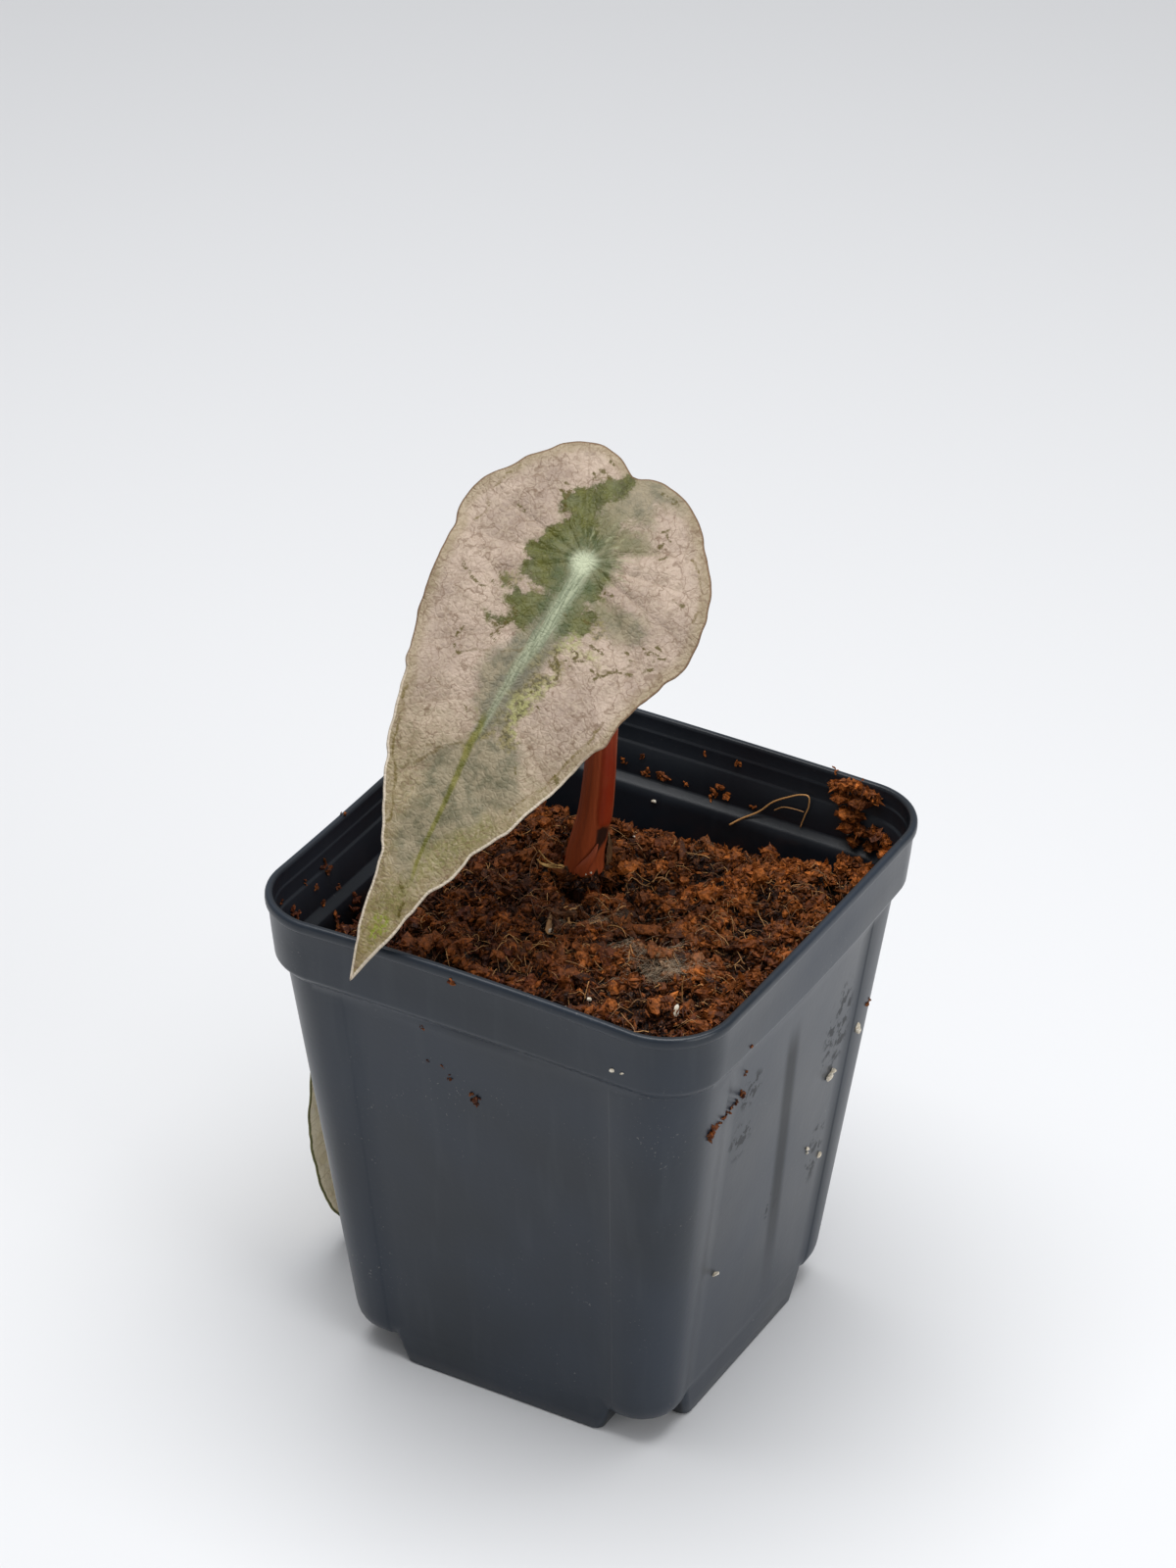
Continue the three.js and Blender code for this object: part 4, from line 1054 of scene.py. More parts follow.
def half_grid(leaf, margin_points, lobe, tip, across):
    """Points of one half as stations by shares across, with where each lies between the veins."""
    margin = smooth_path(margin_points, 60)
    midrib = smooth_path(leaf["midrib"], 60)
    raked = margin[:, 1] - 0.7 * np.abs(margin[:, 0])
    start = np.where((raked[:-1] < 0) & (raked[1:] >= 0) & (margin[:-1, 1] > -10))[0]
    first = int(start[-1]) + 1
    back = resample(margin[:first + 1], lobe + 1)[:-1]
    targets = np.linspace(0, leaf["length"], tip + 1)
    ahead = margin[first:]
    order = np.maximum.accumulate(ahead[:, 1] - 0.7 * np.abs(ahead[:, 0]))
    front = np.column_stack([np.interp(targets, order, ahead[:, k]) for k in (0, 1)])
    front[-1] = margin[-1]
    spine = np.column_stack([np.interp(targets, midrib[:, 1], midrib[:, 0]), targets])
    spine[-1] = margin[-1]
    spines = np.vstack([np.zeros((lobe, 2)), spine])
    margins = np.vstack([back, front])
    ripple = 0.55 * noise(margins, 4.6, 23) + 0.28 * noise(margins, 2.1, 24)
    ripple = ripple * np.clip((leaf["length"] - margins[:, 1]) / 14, 0, 1)
    way = margins - spines
    margins = margins + way / np.maximum(np.linalg.norm(way, axis=1), 1e-6)[:, None] * ripple[:, None]
    share = np.linspace(0, 1, across + 1) ** 0.92
    grid = spines[:, None] + (margins - spines)[:, None] * share[None, :, None]
    rank = np.r_[np.arange(lobe) / lobe * 20, 20 + np.arange(tip + 1) / tip * 24]
    width = np.linalg.norm(margins - spines, axis=1)
    ranks, shares = np.meshgrid(rank, share, indexing="ij")
    return grid, ranks, shares, np.outer(width, 1 - share)


def blade_shape(leaf, lobe, tip, across):
    """Upper and lower faces and a rounded rim, as points in the blade's frame with marks."""
    flats, ranks, shares, edges_in, quads = [], [], [], [], []
    count = 0
    for half, margin_points in enumerate(leaf["margins"]):
        grid, rank, share, from_edge = half_grid(leaf, margin_points, lobe, tip, across)
        rows, columns = grid.shape[:2]
        i, j = np.meshgrid(np.arange(rows - 1), np.arange(columns - 1), indexing="ij")
        a = (count + i * columns + j).ravel()
        ring = [a, a + 1, a + columns + 1, a + columns]
        quads.append(np.column_stack(ring[::-1] if half else ring))
        flats.append(grid.reshape(-1, 2))
        ranks.append(rank.ravel())
        shares.append(share.ravel())
        edges_in.append(from_edge.ravel())
        count += rows * columns
    flat, rank, share = np.vstack(flats), np.concatenate(ranks), np.concatenate(shares)
    quads = np.vstack(quads)
    x, y = flat.T
    midrib = smooth_path(leaf["midrib"], 60)
    mid_x = np.interp(np.clip(y, 0, leaf["length"]), midrib[:, 1], midrib[:, 0])
    to_mid = np.where(y <= 0, np.hypot(x, y), np.abs(x - mid_x))
    thinning = np.where(y > 0, 1 - MIDRIB_TAPER * y / leaf["length"], 1)
    rib = thinning * np.exp(-((to_mid / MIDRIB_WIDTH) ** 2))
    swell = np.sin(math.pi * share)
    quilt = QUILT_DEPTH * np.sin(math.pi * rank / 4) ** 2 * swell
    groove = 0.16 * np.exp(-((np.abs((rank + 2) % 4 - 2) * (2 + 8 * share) / 2.4) ** 2)) * swell
    fine = 0.09 * noise(flat, 3.0, 21) + 0.05 * noise(flat, 1.3, 22)
    body = blade_height(leaf, x, y) + quilt + fine
    upper = body + MIDRIB_LIFT * rib - groove
    depth = BLADE_EDGE + (BLADE_THICKNESS - BLADE_EDGE) * np.clip((1 - share) * 6, 0, 1)
    lower = body - depth - MIDRIB_DEPTH * rib - 1.4 * groove
    return flat, rank, share, quads, upper, lower, to_mid, np.concatenate(edges_in)


def welded(flat, quads):
    """Points of equal place made one, and faces without doubled corners as triangles."""
    keys = np.round(flat * 1e3).astype(np.int64)
    _, first, inverse = np.unique(keys, axis=0, return_index=True, return_inverse=True)
    inverse = inverse.ravel()
    faces = inverse[quads]
    same = [faces[:, k] == faces[:, (k + 1) % 4] for k in range(4)]
    doubled = sum(s.astype(int) for s in same)
    whole = faces[doubled == 0]
    triangles = []
    for k in range(4):
        hit = (doubled == 1) & same[k]
        keep = [c for c in range(4) if c != (k + 1) % 4]
        triangles.append(faces[hit][:, keep])
    triangles = np.vstack(triangles)
    return first, whole, triangles


def blade_mesh(name, leaf, shape):
    """The closed blade from its two faces, with its marks, and its points laid flat."""
    flat, rank, share, quads, upper, lower, to_mid, from_edge = shape
    first, whole, triangles = welded(flat, quads)
    flat, rank, share, upper, lower, to_mid, from_edge = (
        values[first] for values in (flat, rank, share, upper, lower, to_mid, from_edge))
    count = len(flat)
    edges = dict.fromkeys((a, b) for face in whole.tolist() + triangles.tolist()
                          for a, b in zip(face, face[1:] + face[:1]))
    border = {a: b for a, b in edges if (b, a) not in edges}
    start = next(iter(border))
    loop = [start]
    while border[loop[-1]] != start:
        loop.append(border[loop[-1]])
    loop = np.array(loop)
    around = flat[np.roll(loop, -1)] - flat[np.roll(loop, 1)]
    outward = np.column_stack([around[:, 1], -around[:, 0]])
    outward /= np.linalg.norm(outward, axis=1)[:, None] + 1e-9
    edge_flat = flat[loop] + 0.16 * outward
    edge_z = (upper[loop] + lower[loop]) / 2
    all_flat = np.vstack([flat, flat, edge_flat])
    heights = np.concatenate([upper, lower, edge_z])
    origin, across, to_tip, outward3 = blade_axes(leaf)
    points = origin + all_flat[:, :1] * across + all_flat[:, 1:] * to_tip + heights[:, None] * outward3
    a, b = loop, np.roll(loop, -1)
    ea = 2 * count + np.arange(len(loop))
    eb = np.roll(ea, -1)
    bands = np.vstack([np.column_stack([b, a, ea, eb]), np.column_stack([eb, ea, a + count, b + count])])
    faces = [np.vstack([whole, whole[:, ::-1] + count, bands]),
             np.vstack([triangles, triangles[:, ::-1] + count])]
    mesh = mesh_from(name, points, faces)
    marks = {"side": (np.ones(count), np.zeros(count), np.full(len(loop), 0.5)),
             "rank": (rank, rank, rank[loop]),
             "share": (share, share, np.ones(len(loop))),
             "to_mid": (to_mid, to_mid, to_mid[loop]),
             "from_edge": (from_edge, from_edge, np.zeros(len(loop)))}
    for mark, values in marks.items():
        attach(mesh, mark, np.concatenate(values))
    attach(mesh, "leaf_at", np.column_stack([all_flat, np.zeros(len(all_flat))]))
    return mesh, all_flat


# Markings of the main blade as outlines and lines in its own frame, placed over the photograph
ZONES = {
    "olive": [
        rows(2, 16,-174, -4,-176, 3,-161, 10,-136, 22,-121, 28,-106, 20,-82, 11,-58, -3,-43, -9,-23, 14,1,
             14,29, 9,54, 10,71, 20,82, 39,76, 57,72, 73,67, 91,68, 94,58, 88,41, 98,29, 103,12, 92,-5,
             83,-27, 70,-40, 55,-51, 60,-65, 78,-58, 85,-75, 84,-92, 76,-105, 61,-125, 54,-141, 37,-147,
             24,-152, 19,-166),
        rows(2, 86,104, 62,100, 41,91, 21,89, 15,108, 22,133, 28,159, 45,165, 61,157, 73,172, 94,172, 95,165,
             66,157, 62,136, 78,122),
        rows(2, -36,-4, -49,-8, -54,9, -56,30, -61,44, -54,59, -40,67, -42,93, -53,81, -68,84, -67,104, -62,124,
             -48,137, -27,140, -19,122, -18,84, -20,50, -19,22, -27,-2),
        rows(2, 113,94, 109,86, 102,91, 97,105, 107,102),
    ],
    "greyed": [
        rows(2, 9,-163, -21,-174, -43,-163, -47,-130, -59,-114, -46,-113, -31,-104, -24,-89, -24,-60, -31,-30,
             -54,-9, -56,13, -48,17, -33,-8, -9,-23, 2,-46, 16,-66, 23,-97, 19,-117),
        rows(2, 15,63, 17,86, 17,142, 32,188, 46,228, 50,258, 31,301, 0,337, -32,337, -26,271, -22,192, -23,120,
             -18,56, 0,44),
        rows(2, -16,-38, -32,-65, -44,-80, -65,-89, -79,-74, -61,-52, -38,-36),
        rows(2, -56,58, -77,68, -106,64, -138,55, -149,65, -143,92, -125,97, -100,89, -74,81, -57,79),
        rows(2, 53,426, 37,406, 15,385, -2,361, -29,355, -62,352, -93,398, -107,433, -89,458, -71,477, -57,501,
             -40,519, -20,522, -10,540, -3,564, -1,598, 2,627, 22,611, 40,567, 41,534, 36,511, 40,486,
             46,456),
        rows(2, -5,-165, -38,-181, -74,-175, -89,-166, -71,-162, -46,-159),
    ],
    "brownish": [
        rows(2, -5,190, -29,166, -50,177, -59,199, -52,217, -40,231, -23,248, -21,273, -19,296, -9,269, -4,228),
        rows(2, 16,323, 0,304, -19,289, -39,308, -55,334, -65,363, -42,358, -18,348, -6,363, 3,382, 5,403,
             16,389, 14,360, 13,342),
        rows(2, -39,139, -34,158, -17,183, -11,214, -18,248, -24,277, -37,319, -52,316, -53,273, -61,231,
             -63,198, -52,176, -54,147),
        rows(2, 114,83, 89,72, 60,76, 40,88, 60,104, 82,111, 99,104),
        rows(2, -54,92, -68,79, -104,97, -102,121, -84,125),
    ],
    "yellowed": [
        rows(2, -36,143, -49,128, -66,130, -77,140, -70,155, -54,164, -42,157),
        rows(2, -10,275, -27,255, -50,229, -57,211, -56,258, -53,287, -47,314, -55,338, -39,322, -25,301),
        rows(2, -71,149, -96,146, -118,157, -99,161),
    ],
    "fresh": [
        rows(2, 7,727, 5,714, -5,714, -11,729, -6,742, 3,740),
        rows(2, -3,702, -13,703, -16,718, -8,715),
    ],
    "mossy": [
        rows(2, 21,682, 8,656, -10,640, -30,644, -33,662, -25,692, -16,726, -10,745, -5,768, 9,755, 15,719),
        rows(2, -3,564, -26,519, -82,472, -105,488, -79,540, -42,598, -21,635, -2,637, 1,606),
    ]}
PALE_BAND = rows(2, 0,0, -6,34, -7,68, -5,99, -7,135, -2,167, 2,203, 4,250, 5,289, 4,328, 7,363)
GREEN_RIB = rows(2, 14,308, 8,344, 8,379, 5,405, 0,455, -4,510, -6,561, -10,600, -18,639, -18,667)
VEINS = {
    "margin_vein": [
        rows(2, -174,247, -171,290, -160,320, -155,341, -152,358, -148,370, -136,397, -122,420, -110,448,
             -101,480, -86,503),
        rows(2, 152,337, 139,378, 129,414, 122,444, 103,467, 81,509, 66,561),
        rows(2, -158,-91, -181,-69, -201,-46, -214,-18, -219,13),
        rows(2, 208,24, 199,-4, 207,-28, 203,-68, 185,-100),
    ],
    "cross": [
        rows(2, 90,468, 81,454, 72,446, 65,429, 54,412, 41,399, 21,380),
        rows(2, -2,183, 29,204, 57,218, 82,230, 111,253),
        rows(2, -78,148, -101,155, -125,161, -139,159, -153,145, -165,130)]}
# Small dark strokes: both ends of each
STROKES = rows(4, 89,-87,88,-102, 78,-61,83,-79, 116,88,89,102, 97,167,82,177, 82,177,64,169, 64,169,59,154,
    63,134,51,142, 186,98,169,110, 161,111,146,119, 144,120,127,123, 127,106,106,112, 122,225,122,205,
    121,240,104,249, 104,249,94,239, 154,-38,140,-31, 65,-157,54,-159, 60,-182,49,-179, 43,-157,37,-154,
    72,-147,65,-140, 102,-94,91,-94, 103,-110,97,-107, -90,-107,-97,-117, -101,-107,-110,-98,
    -98,-80,-103,-91, -110,-61,-117,-74, -77,-169,-88,-167, -51,-174,-64,-172, -173,-9,-188,-7,
    -61,36,-73,34, -63,153,-79,160, -78,165,-88,163, -88,131,-113,133, -106,168,-127,170,
    -121,186,-127,170, -127,170,-148,155, -143,147,-158,153, -157,150,-175,141, -155,120,-163,121,
    -139,113,-149,111, -167,95,-179,96, -180,91,-193,88, -184,78,-193,80, -194,103,-205,89,
    -184,128,-200,113, -37,167,-65,200, -65,200,-60,214, -34,250,-46,250, -61,269,-69,271, 71,181,61,184,
    78,191,62,200, -2,645,-16,657, -22,669,-25,694, -8,98,-22,102, -52,94,-69,97, -58,171,-74,179,
    -37,188,-53,198, -81,379,-88,388, -150,364,-161,370, 53,325,44,328)



def shaken(flat, amount, scale, seed):
    """Shifts of places in the plane."""
    return amount * np.column_stack([noise(flat, scale, seed), noise(flat, scale, seed + 1)])


def mark_main_blade(mesh, flat):
    warp = shaken(flat, 0.75, 2.6, 31) + shaken(flat, 0.5, 1.0, 33)
    for name, outlines in ZONES.items():
        depth = np.max([inside_depth(flat + warp, outline) for outline in outlines], axis=0)
        attach(mesh, name, np.clip(depth, -6, 6))
    gap, along = distance_to_line(flat, smooth_path(PALE_BAND, 8))
    attach(mesh, "band", gap / np.interp(along, [0, 0.12, 0.5, 0.75, 1.0], [2.1, 1.6, 1.4, 0.85, 0.4]))
    gap, along = distance_to_line(flat, smooth_path(GREEN_RIB, 8))
    attach(mesh, "rib", gap / np.interp(along, [0, 0.15, 0.5, 0.8, 1], [0.45, 0.55, 0.38, 0.3, 0.25]))
    attach(mesh, "rib_along", along)
    small = flat + shaken(flat, 0.35, 1.1, 35)
    for name, lines in VEINS.items():
        attach(mesh, name, np.min([distance_to_line(small, smooth_path(line, 8))[0] for line in lines], 0))
    strokes = [distance_to_line(small, [(a, b), (c, d)])[0] for a, b, c, d in STROKES]
    attach(mesh, "stroke", np.min(strokes, 0))
    attach(mesh, "swing", np.arctan2(flat[:, 0], -flat[:, 1]))
    attach(mesh, "reach", np.hypot(flat[:, 0], flat[:, 1] - 0.6))


def blade_material():
    look = Look("main_blade")
    at = look.attribute("leaf_at", "Vector")
    y = look.node("SeparateXYZ", {"Vector": at}, "Y")
    from_edge, reach, swing = (look.attribute(name) for name in ("from_edge", "reach", "swing"))
    cloud = look.noise(at, 0.1, 2.0, 0.5)
    middle = look.noise(at, 0.35, 3.0, 0.6)
    fine = look.noise(at, 1.3, 2.0, 0.6)
    tiny = look.noise(at, 4.0, 1.0, 0.6)

    def shifted(scale, amount, start):
        """Places moved about by noise, so that what is drawn at them bends."""
        push = look.node("VectorMath", {0: look.noise(at, scale, 1.0, 0.6, "Color"), 1: (0.5, 0.5, 0.5)},
                         operation="SUBTRACT")
        push = look.node("VectorMath", {0: push, 3: amount}, operation="SCALE")
        return look.node("VectorMath", {0: start, 1: push}, operation="ADD")
    bent = shifted(1.3, 0.7, shifted(0.4, 2.4, at))

    def cells(scale, width):
        return look.cell_edges(bent, scale, 0.95).down(0.0, width)

    def creases(scale, width):
        return look.math("ABSOLUTE", look.noise(bent, scale, 2.0, 0.5) - 0.5).down(0.0, width)

    def line(name, shaken, low, high):
        return (look.attribute(name) + (fine - 0.5) * shaken).down(low, high)

    ragged = (fine - 0.5) * 2.4 + (middle - 0.5) * 1.6

    def within(name, soft, power, shaken=1.0, grown=0.0):
        return (look.attribute(name) + ragged * shaken).up(-soft - grown, soft - grown) * power

    # Ground: pinkish cream with paler meshes and brown veins, duller and more olive towards the tip
    patches = y.up(24.0, 48.0) * look.noise(bent, 0.5, 2.0, 0.6).up(0.42, 0.6)
    edge_zone = from_edge + (middle - 0.5) * 3.0
    tooth = look.math("PINGPONG", look.attribute("rank"), 2.0)
    lateral = (tooth * (look.attribute("share") * 3.4 + 0.5) + (fine - 0.5) * 0.5).down(0.0, 0.32)
    coat = look.mix(cloud.up(0.35, 0.65), rgb(168, 150, 135), rgb(140, 123, 110)).under(
        (middle.up(0.42, 0.7) * 0.75, (122, 105, 90)),
        (y.up(26.0, 56.0) * 0.8, (130, 119, 80)),
        (patches * 0.5, (100, 95, 62)),
        (y.up(60.0, 78.0) * 0.8, (108, 92, 30)),
        (edge_zone.down(0.5, 3.0) * 0.6, (120, 108, 74)),
        (cells(0.95, 0.34) * middle.up(0.3, 0.65) * 0.34, (190, 174, 154)),
        (creases(0.15, 0.014) * 0.6, (96, 74, 54)),
        (creases(0.42, 0.045) * 0.22, (110, 88, 68)),
        (cells(0.33, 0.07) * 0.32, (108, 86, 66)),
        (lateral * 0.3, (104, 82, 62)),
        (tiny.up(0.5, 0.75) * 0.1, (116, 96, 78)))

    # Green marbling, and the shade beside the midrib
    spokes = look.noise(look.node("CombineXYZ", {"X": swing, "Y": reach * 0.035}), 8.0, 2.0, 0.6)
    mottled = look.mix(middle.up(0.35, 0.62), rgb(88, 86, 66), rgb(128, 118, 96)).under(
        (fine.up(0.45, 0.7) * 0.35, (140, 130, 106)),
        (reach.down(7.0, 15.0) * 0.7, (92, 92, 54)))
    olive = look.mix(middle.up(0.3, 0.7), rgb(54, 58, 12), rgb(84, 84, 32)).under(
        (spokes.up(0.45, 0.65) * 0.3, (98, 104, 56)),
        (fine.up(0.55, 0.7) * 0.4, (122, 122, 80)),
        (look.noise(bent, 0.3, 2.0, 0.6).up(0.5, 0.66) * 0.5, (96, 98, 66)))
    earthy = look.mix(fine.up(0.4, 0.62), rgb(64, 60, 22), rgb(116, 106, 66))
    shade = look.mix(y.up(8.0, 22.0), rgb(66, 78, 48), rgb(92, 90, 76)).under(
        (middle.up(0.4, 0.62) * 0.8, (108, 106, 84)))
    coat = coat.under(
        (within("mossy", 1.4, fine.up(0.3, 0.6) * 0.6), (106, 104, 54)),
        (within("greyed", 1.5, 0.88, 1.2, 0.9), mottled),
        (within("brownish", 0.8, middle.up(0.36, 0.56) * 0.85), earthy),
        (within("olive", 0.3, 0.9), (58, 52, 14)),
        (within("olive", 1.1, 0.92), olive),
        (within("yellowed", 1.2, fine.up(0.32, 0.58) * 0.6), (150, 150, 98)),
        (within("fresh", 0.35, fine.up(0.35, 0.6) * 0.7), (116, 128, 26)),
        ((look.attribute("band") + (middle - 0.5) * 2.6).down(1.0, 3.4) * 0.66, shade))

    # Rays that run out from over the stalk, small strokes, and the veins by the margin
    span = reach.up(1.0, 3.0) * reach.down(6.0, 12.0) * look.math("ABSOLUTE", swing + 0.6).down(0.6, 1.6)
    broken = look.noise(at, 1.1, 2.0, 0.6).up(0.36, 0.5)
    coat = coat.under(
        (spokes.up(0.54, 0.68) * span * 0.55, (142, 142, 112)),
        (spokes.down(0.34, 0.46) * span * 0.4, (60, 64, 36)),
        (line("stroke", 0.9, 0.12, 0.42) * broken * 0.9, (74, 64, 12)),
        (line("margin_vein", 0.6, 0.05, 0.36) * middle.up(0.36, 0.56) * 0.75, (88, 74, 20)),
        (line("cross", 0.6, 0.05, 0.4) * middle.up(0.3, 0.5) * 0.6, (84, 70, 32)))

    # Pale band over the midrib, streaked along and brightest over the stalk, and the green rib below it
    streaks = look.noise(look.stretched(at, 1.0, 0.1, 1.0), 2.4, 2.0, 0.6)
    pale = look.mix(streaks.up(0.35, 0.65), rgb(104, 112, 88), rgb(150, 156, 130))
    pale_share = (look.attribute("band") + (streaks - 0.5) * 1.9).down(0.35, 1.35)
    rib_along = look.attribute("rib_along")
    rib_on = rib_along.up(0.0, 0.08) * rib_along.down(0.8, 1.0)
    coat = coat.under(
        (pale_share * (1.0 - y.up(10.0, 32.0) * 0.45) * 0.9, pale),
        ((reach + (middle - 0.5) * 2.0).down(0.5, 3.3) * 0.8, (176, 182, 154)),
        (line("rib", 1.3, 0.5, 1.7) * rib_on * 0.85,
         look.mix(middle.up(0.4, 0.6), rgb(80, 80, 18), rgb(106, 102, 42))))

    # The very edge: brown around the lobes, whitish lower down
    lower_half = y.up(24.0, 42.0)
    coat = coat.under(
        (from_edge.down(0.08, 0.26) * (1.0 - lower_half) * 0.7, (98, 70, 48)),
        (from_edge.down(0.2, 0.42) * lower_half * 0.8, (196, 184, 168)))

    # The lower face is duller and greener, with the same veins
    lower = coat.under((0.5, (136, 128, 100)), (lateral * 0.5, (104, 68, 48)))
    base = look.mix(look.attribute("side").up(0.2, 0.8), lower, coat)
    height = look.noise(at, 1.5, 2.0, 0.6) + look.cell_edges(at, 0.95).up(0.0, 0.25) * 0.6
    rough = look.node("MapRange", {"Value": fine, "To Min": 0.42, "To Max": 0.6})
    return look.shader(Base_Color=base, Roughness=rough, Normal=look.bump(height, 0.5, 0.00025),
                       Specular_IOR_Level=0.22)


def old_blade_material():
    look = Look("old_blade")
    at = look.attribute("leaf_at", "Vector")
    fine = look.noise(at, 1.4, 2.0, 0.65)
    near = look.math("PINGPONG", look.attribute("rank"), 2.0) * (look.attribute("share") * 3.0 + 0.5)
    edge = look.attribute("from_edge") + (fine - 0.5) * 0.3
    top = look.mix(look.noise(at, 0.3, 2.0, 0.6).up(0.35, 0.7), rgb(222, 213, 198), rgb(208, 199, 182)).under(
        (look.cell_edges(at, 0.5).down(0.0, 0.09) * 0.22, (150, 134, 112)),
        (near.down(0.05, 0.4) * 0.3, (140, 124, 98)),
        (look.noise(at, 0.16, 3.0, 0.6).up(0.62, 0.68) * 0.6, (112, 116, 72)),
        (look.noise(at, 0.9, 2.0, 0.5).up(0.7, 0.74) * 0.8, (96, 72, 50)),
        (look.attribute("to_mid").down(0.4, 1.2) * 0.6, (164, 160, 118)),
        (edge.down(0.2, 0.42), (70, 78, 52)))
    base = look.mix(look.attribute("side").up(0.2, 0.8), top, top.under((0.3, (160, 146, 112))))
    return look.shader(Base_Color=base, Roughness=0.55, Normal=look.bump(fine, 0.5, 0.0003),
                       Specular_IOR_Level=0.35, Subsurface_Weight=0.75, Subsurface_Radius=(1.0, 0.9, 0.7),
                       Subsurface_Scale=0.0025)


def build_blades():
    mesh, flat = blade_mesh("main_blade", BLADE, blade_shape(BLADE, 86, 186, 60))
    mark_main_blade(mesh, flat)
    piece("main_blade", mesh, blade_material(), "blade", ["blade"])
    mesh, flat = blade_mesh("old_leaf", OLD_BLADE, blade_shape(OLD_BLADE, 50, 110, 36))
    piece("old_leaf", mesh, old_blade_material(), "old_blade", ["old_blade"])


# Stalks and stem base

def stalk_end(leaf, approach):
    """The last stretch of a stalk, square to the underside of its blade."""
    origin, _, _, outward = blade_axes(leaf)
    end = origin - outward * (0.7 + MIDRIB_DEPTH + 0.1)
    return [end - outward * approach, end]


def stalk_material(name, left, right, dark):
    look = Look(name)
    at = look.place()
    streak = look.noise(look.stretched(at, 1.0, 1.0, 0.07), 1500.0, 4.0, 0.6)
    base = look.mix(look.attribute("wing"), rgb(*left), rgb(*right)).under(
        (streak.up(0.45, 0.75) * 0.4, dark),
        (look.noise(at, 160.0, 3.0, 0.6).up(0.4, 0.7) * 0.35, (150, 70, 36)),
        # Painted shade in the slit of the sheath
        (look.attribute("slit"), (44, 22, 14)),
        # Painted highlight: a lighter line down the stalk's right edge as seen
        (look.attribute("rim") * 0.8, (178, 92, 44)))
    normal = look.bump(streak, 0.35, 0.0002)
    normal = look.bump(look.noise(at, 2200.0, 3.0, 0.6), 0.3, 0.0001, normal)
    return look.shader(Base_Color=base, Roughness=0.44, Normal=normal, Coat_Weight=0.08, Coat_Roughness=0.3)


# The slit in the sheath near the foot, painted dark as the shade in it: share to the viewer's right, height
SLIT = [(0.2, 95.8), (0.55, 96.4), (0.97, 95.6), (0.94, 93.4), (0.6, 91.2), (0.32, 88.4), (0.12, 87.4),
        (0.14, 90), (0.3, 92.5)]


def build_stalks():
    start = [(-8.9, 12.3, 80.5), (-8.65, 12.0, 84)]
    path = resample(smooth_path(start + STALK_ROUTE + [tuple(p) for p in stalk_end(BLADE, 4)], 30), 170)
    first, second = path_frames(path)
    (low, thick), (high, thin) = STALK_FOOT, STALK_TOP
    size = thick + (thin - thick) * np.clip((path[:, 2] - low) / (high - low), 0, 1) ** 0.6
    sides = 80
    angle = np.arange(sides) / sides * 2 * math.pi
    direction = np.cos(angle)[None, :, None] * first[:, None] + np.sin(angle)[None, :, None] * second[:, None]
    # The sheath's wing lies on the viewer's right and ends in a rounded edge above the foot
    right, back = turned(direction[..., 0], direction[..., 1], VIEW_TURN)
    z = np.repeat(path[:, 2][:, None], sides, 1)
    lower_end = 96.4 + 3.2 * np.clip((0.35 - right) / 0.35, 0, 1) ** 2
    wing = 1 / (1 + np.exp(-(right - 0.04) / 0.015)) / (1 + np.exp(-(z - lower_end) / 0.12))
    seen = np.column_stack([right.ravel(), z.ravel()])
    # The slit's mask: a shallow sink and painted shade
    slit = np.clip(inside_depth(seen * [3.4, 1], np.array(SLIT) * [3.4, 1]) / 0.5 + 0.4, 0, 1)
    slit = slit * (back.ravel() < 0.2)
    radius = size[:, None] * (1 + 0.045 * wing - 0.05 * slit.reshape(z.shape))
    ridge = 0.014 * np.cos(angle * 9)[None] + 0.008 * np.cos(angle * 17 + 1.3)[None]
    rings = path[:, None] + direction * (radius * (1 + ridge))[..., None]
    # Painted highlight along the stalk's right edge as seen, above the sheath's foot
    rim = np.exp(-(((right - 0.97) / 0.02) ** 2)) * (z > 97)
    heap = Heap()
    heap.add(*skin(rings), **{name: np.r_[values.ravel(), 0, 0]
                              for name, values in (("wing", wing), ("slit", slit), ("rim", rim))})
    # The strip of sheath that lies across the foot at the right
    strip = [(-8.0, 7.9, 86.0), (-6.7, 8.3, 88.4), (-5.5, 9.1, 90.6), (-4.95, 10.1, 92.8)]
    heap.add(*ribbon(strip, 1.15, 0.2), wing=0.2, slit=0, rim=0.1)
    heap.piece("main_stalk", True, stalk_material("stalk", (156, 70, 34), (136, 38, 5), (94, 30, 12)),
               "stalk", ["stalk"])

    route = smooth_path(OLD_STALK_ROUTE + [tuple(p) for p in stalk_end(OLD_BLADE, 2)], 24)
    points, faces = tube(route, lambda s: 1.8 - 0.55 * s ** 0.6, 24, 140)
    mesh = mesh_from("old_leaf_stalk", points, faces)
    for name in ("wing", "slit", "rim"):
        attach(mesh, name, np.zeros(len(points)))
    piece("old_leaf_stalk", mesh, stalk_material("old_stalk", (116, 84, 56), (116, 84, 56), (84, 50, 32)),
          "old_stalk", ["old_stalk"])


def crown_radius(swing, gap=0.0):
    """The stem base's radius in a level direction."""
    a, b = CROWN["along"] + gap, CROWN["across"] + gap
    angle = swing - math.radians(CROWN["turn"])
    return a * b / np.hypot(b * np.cos(angle), a * np.sin(angle))


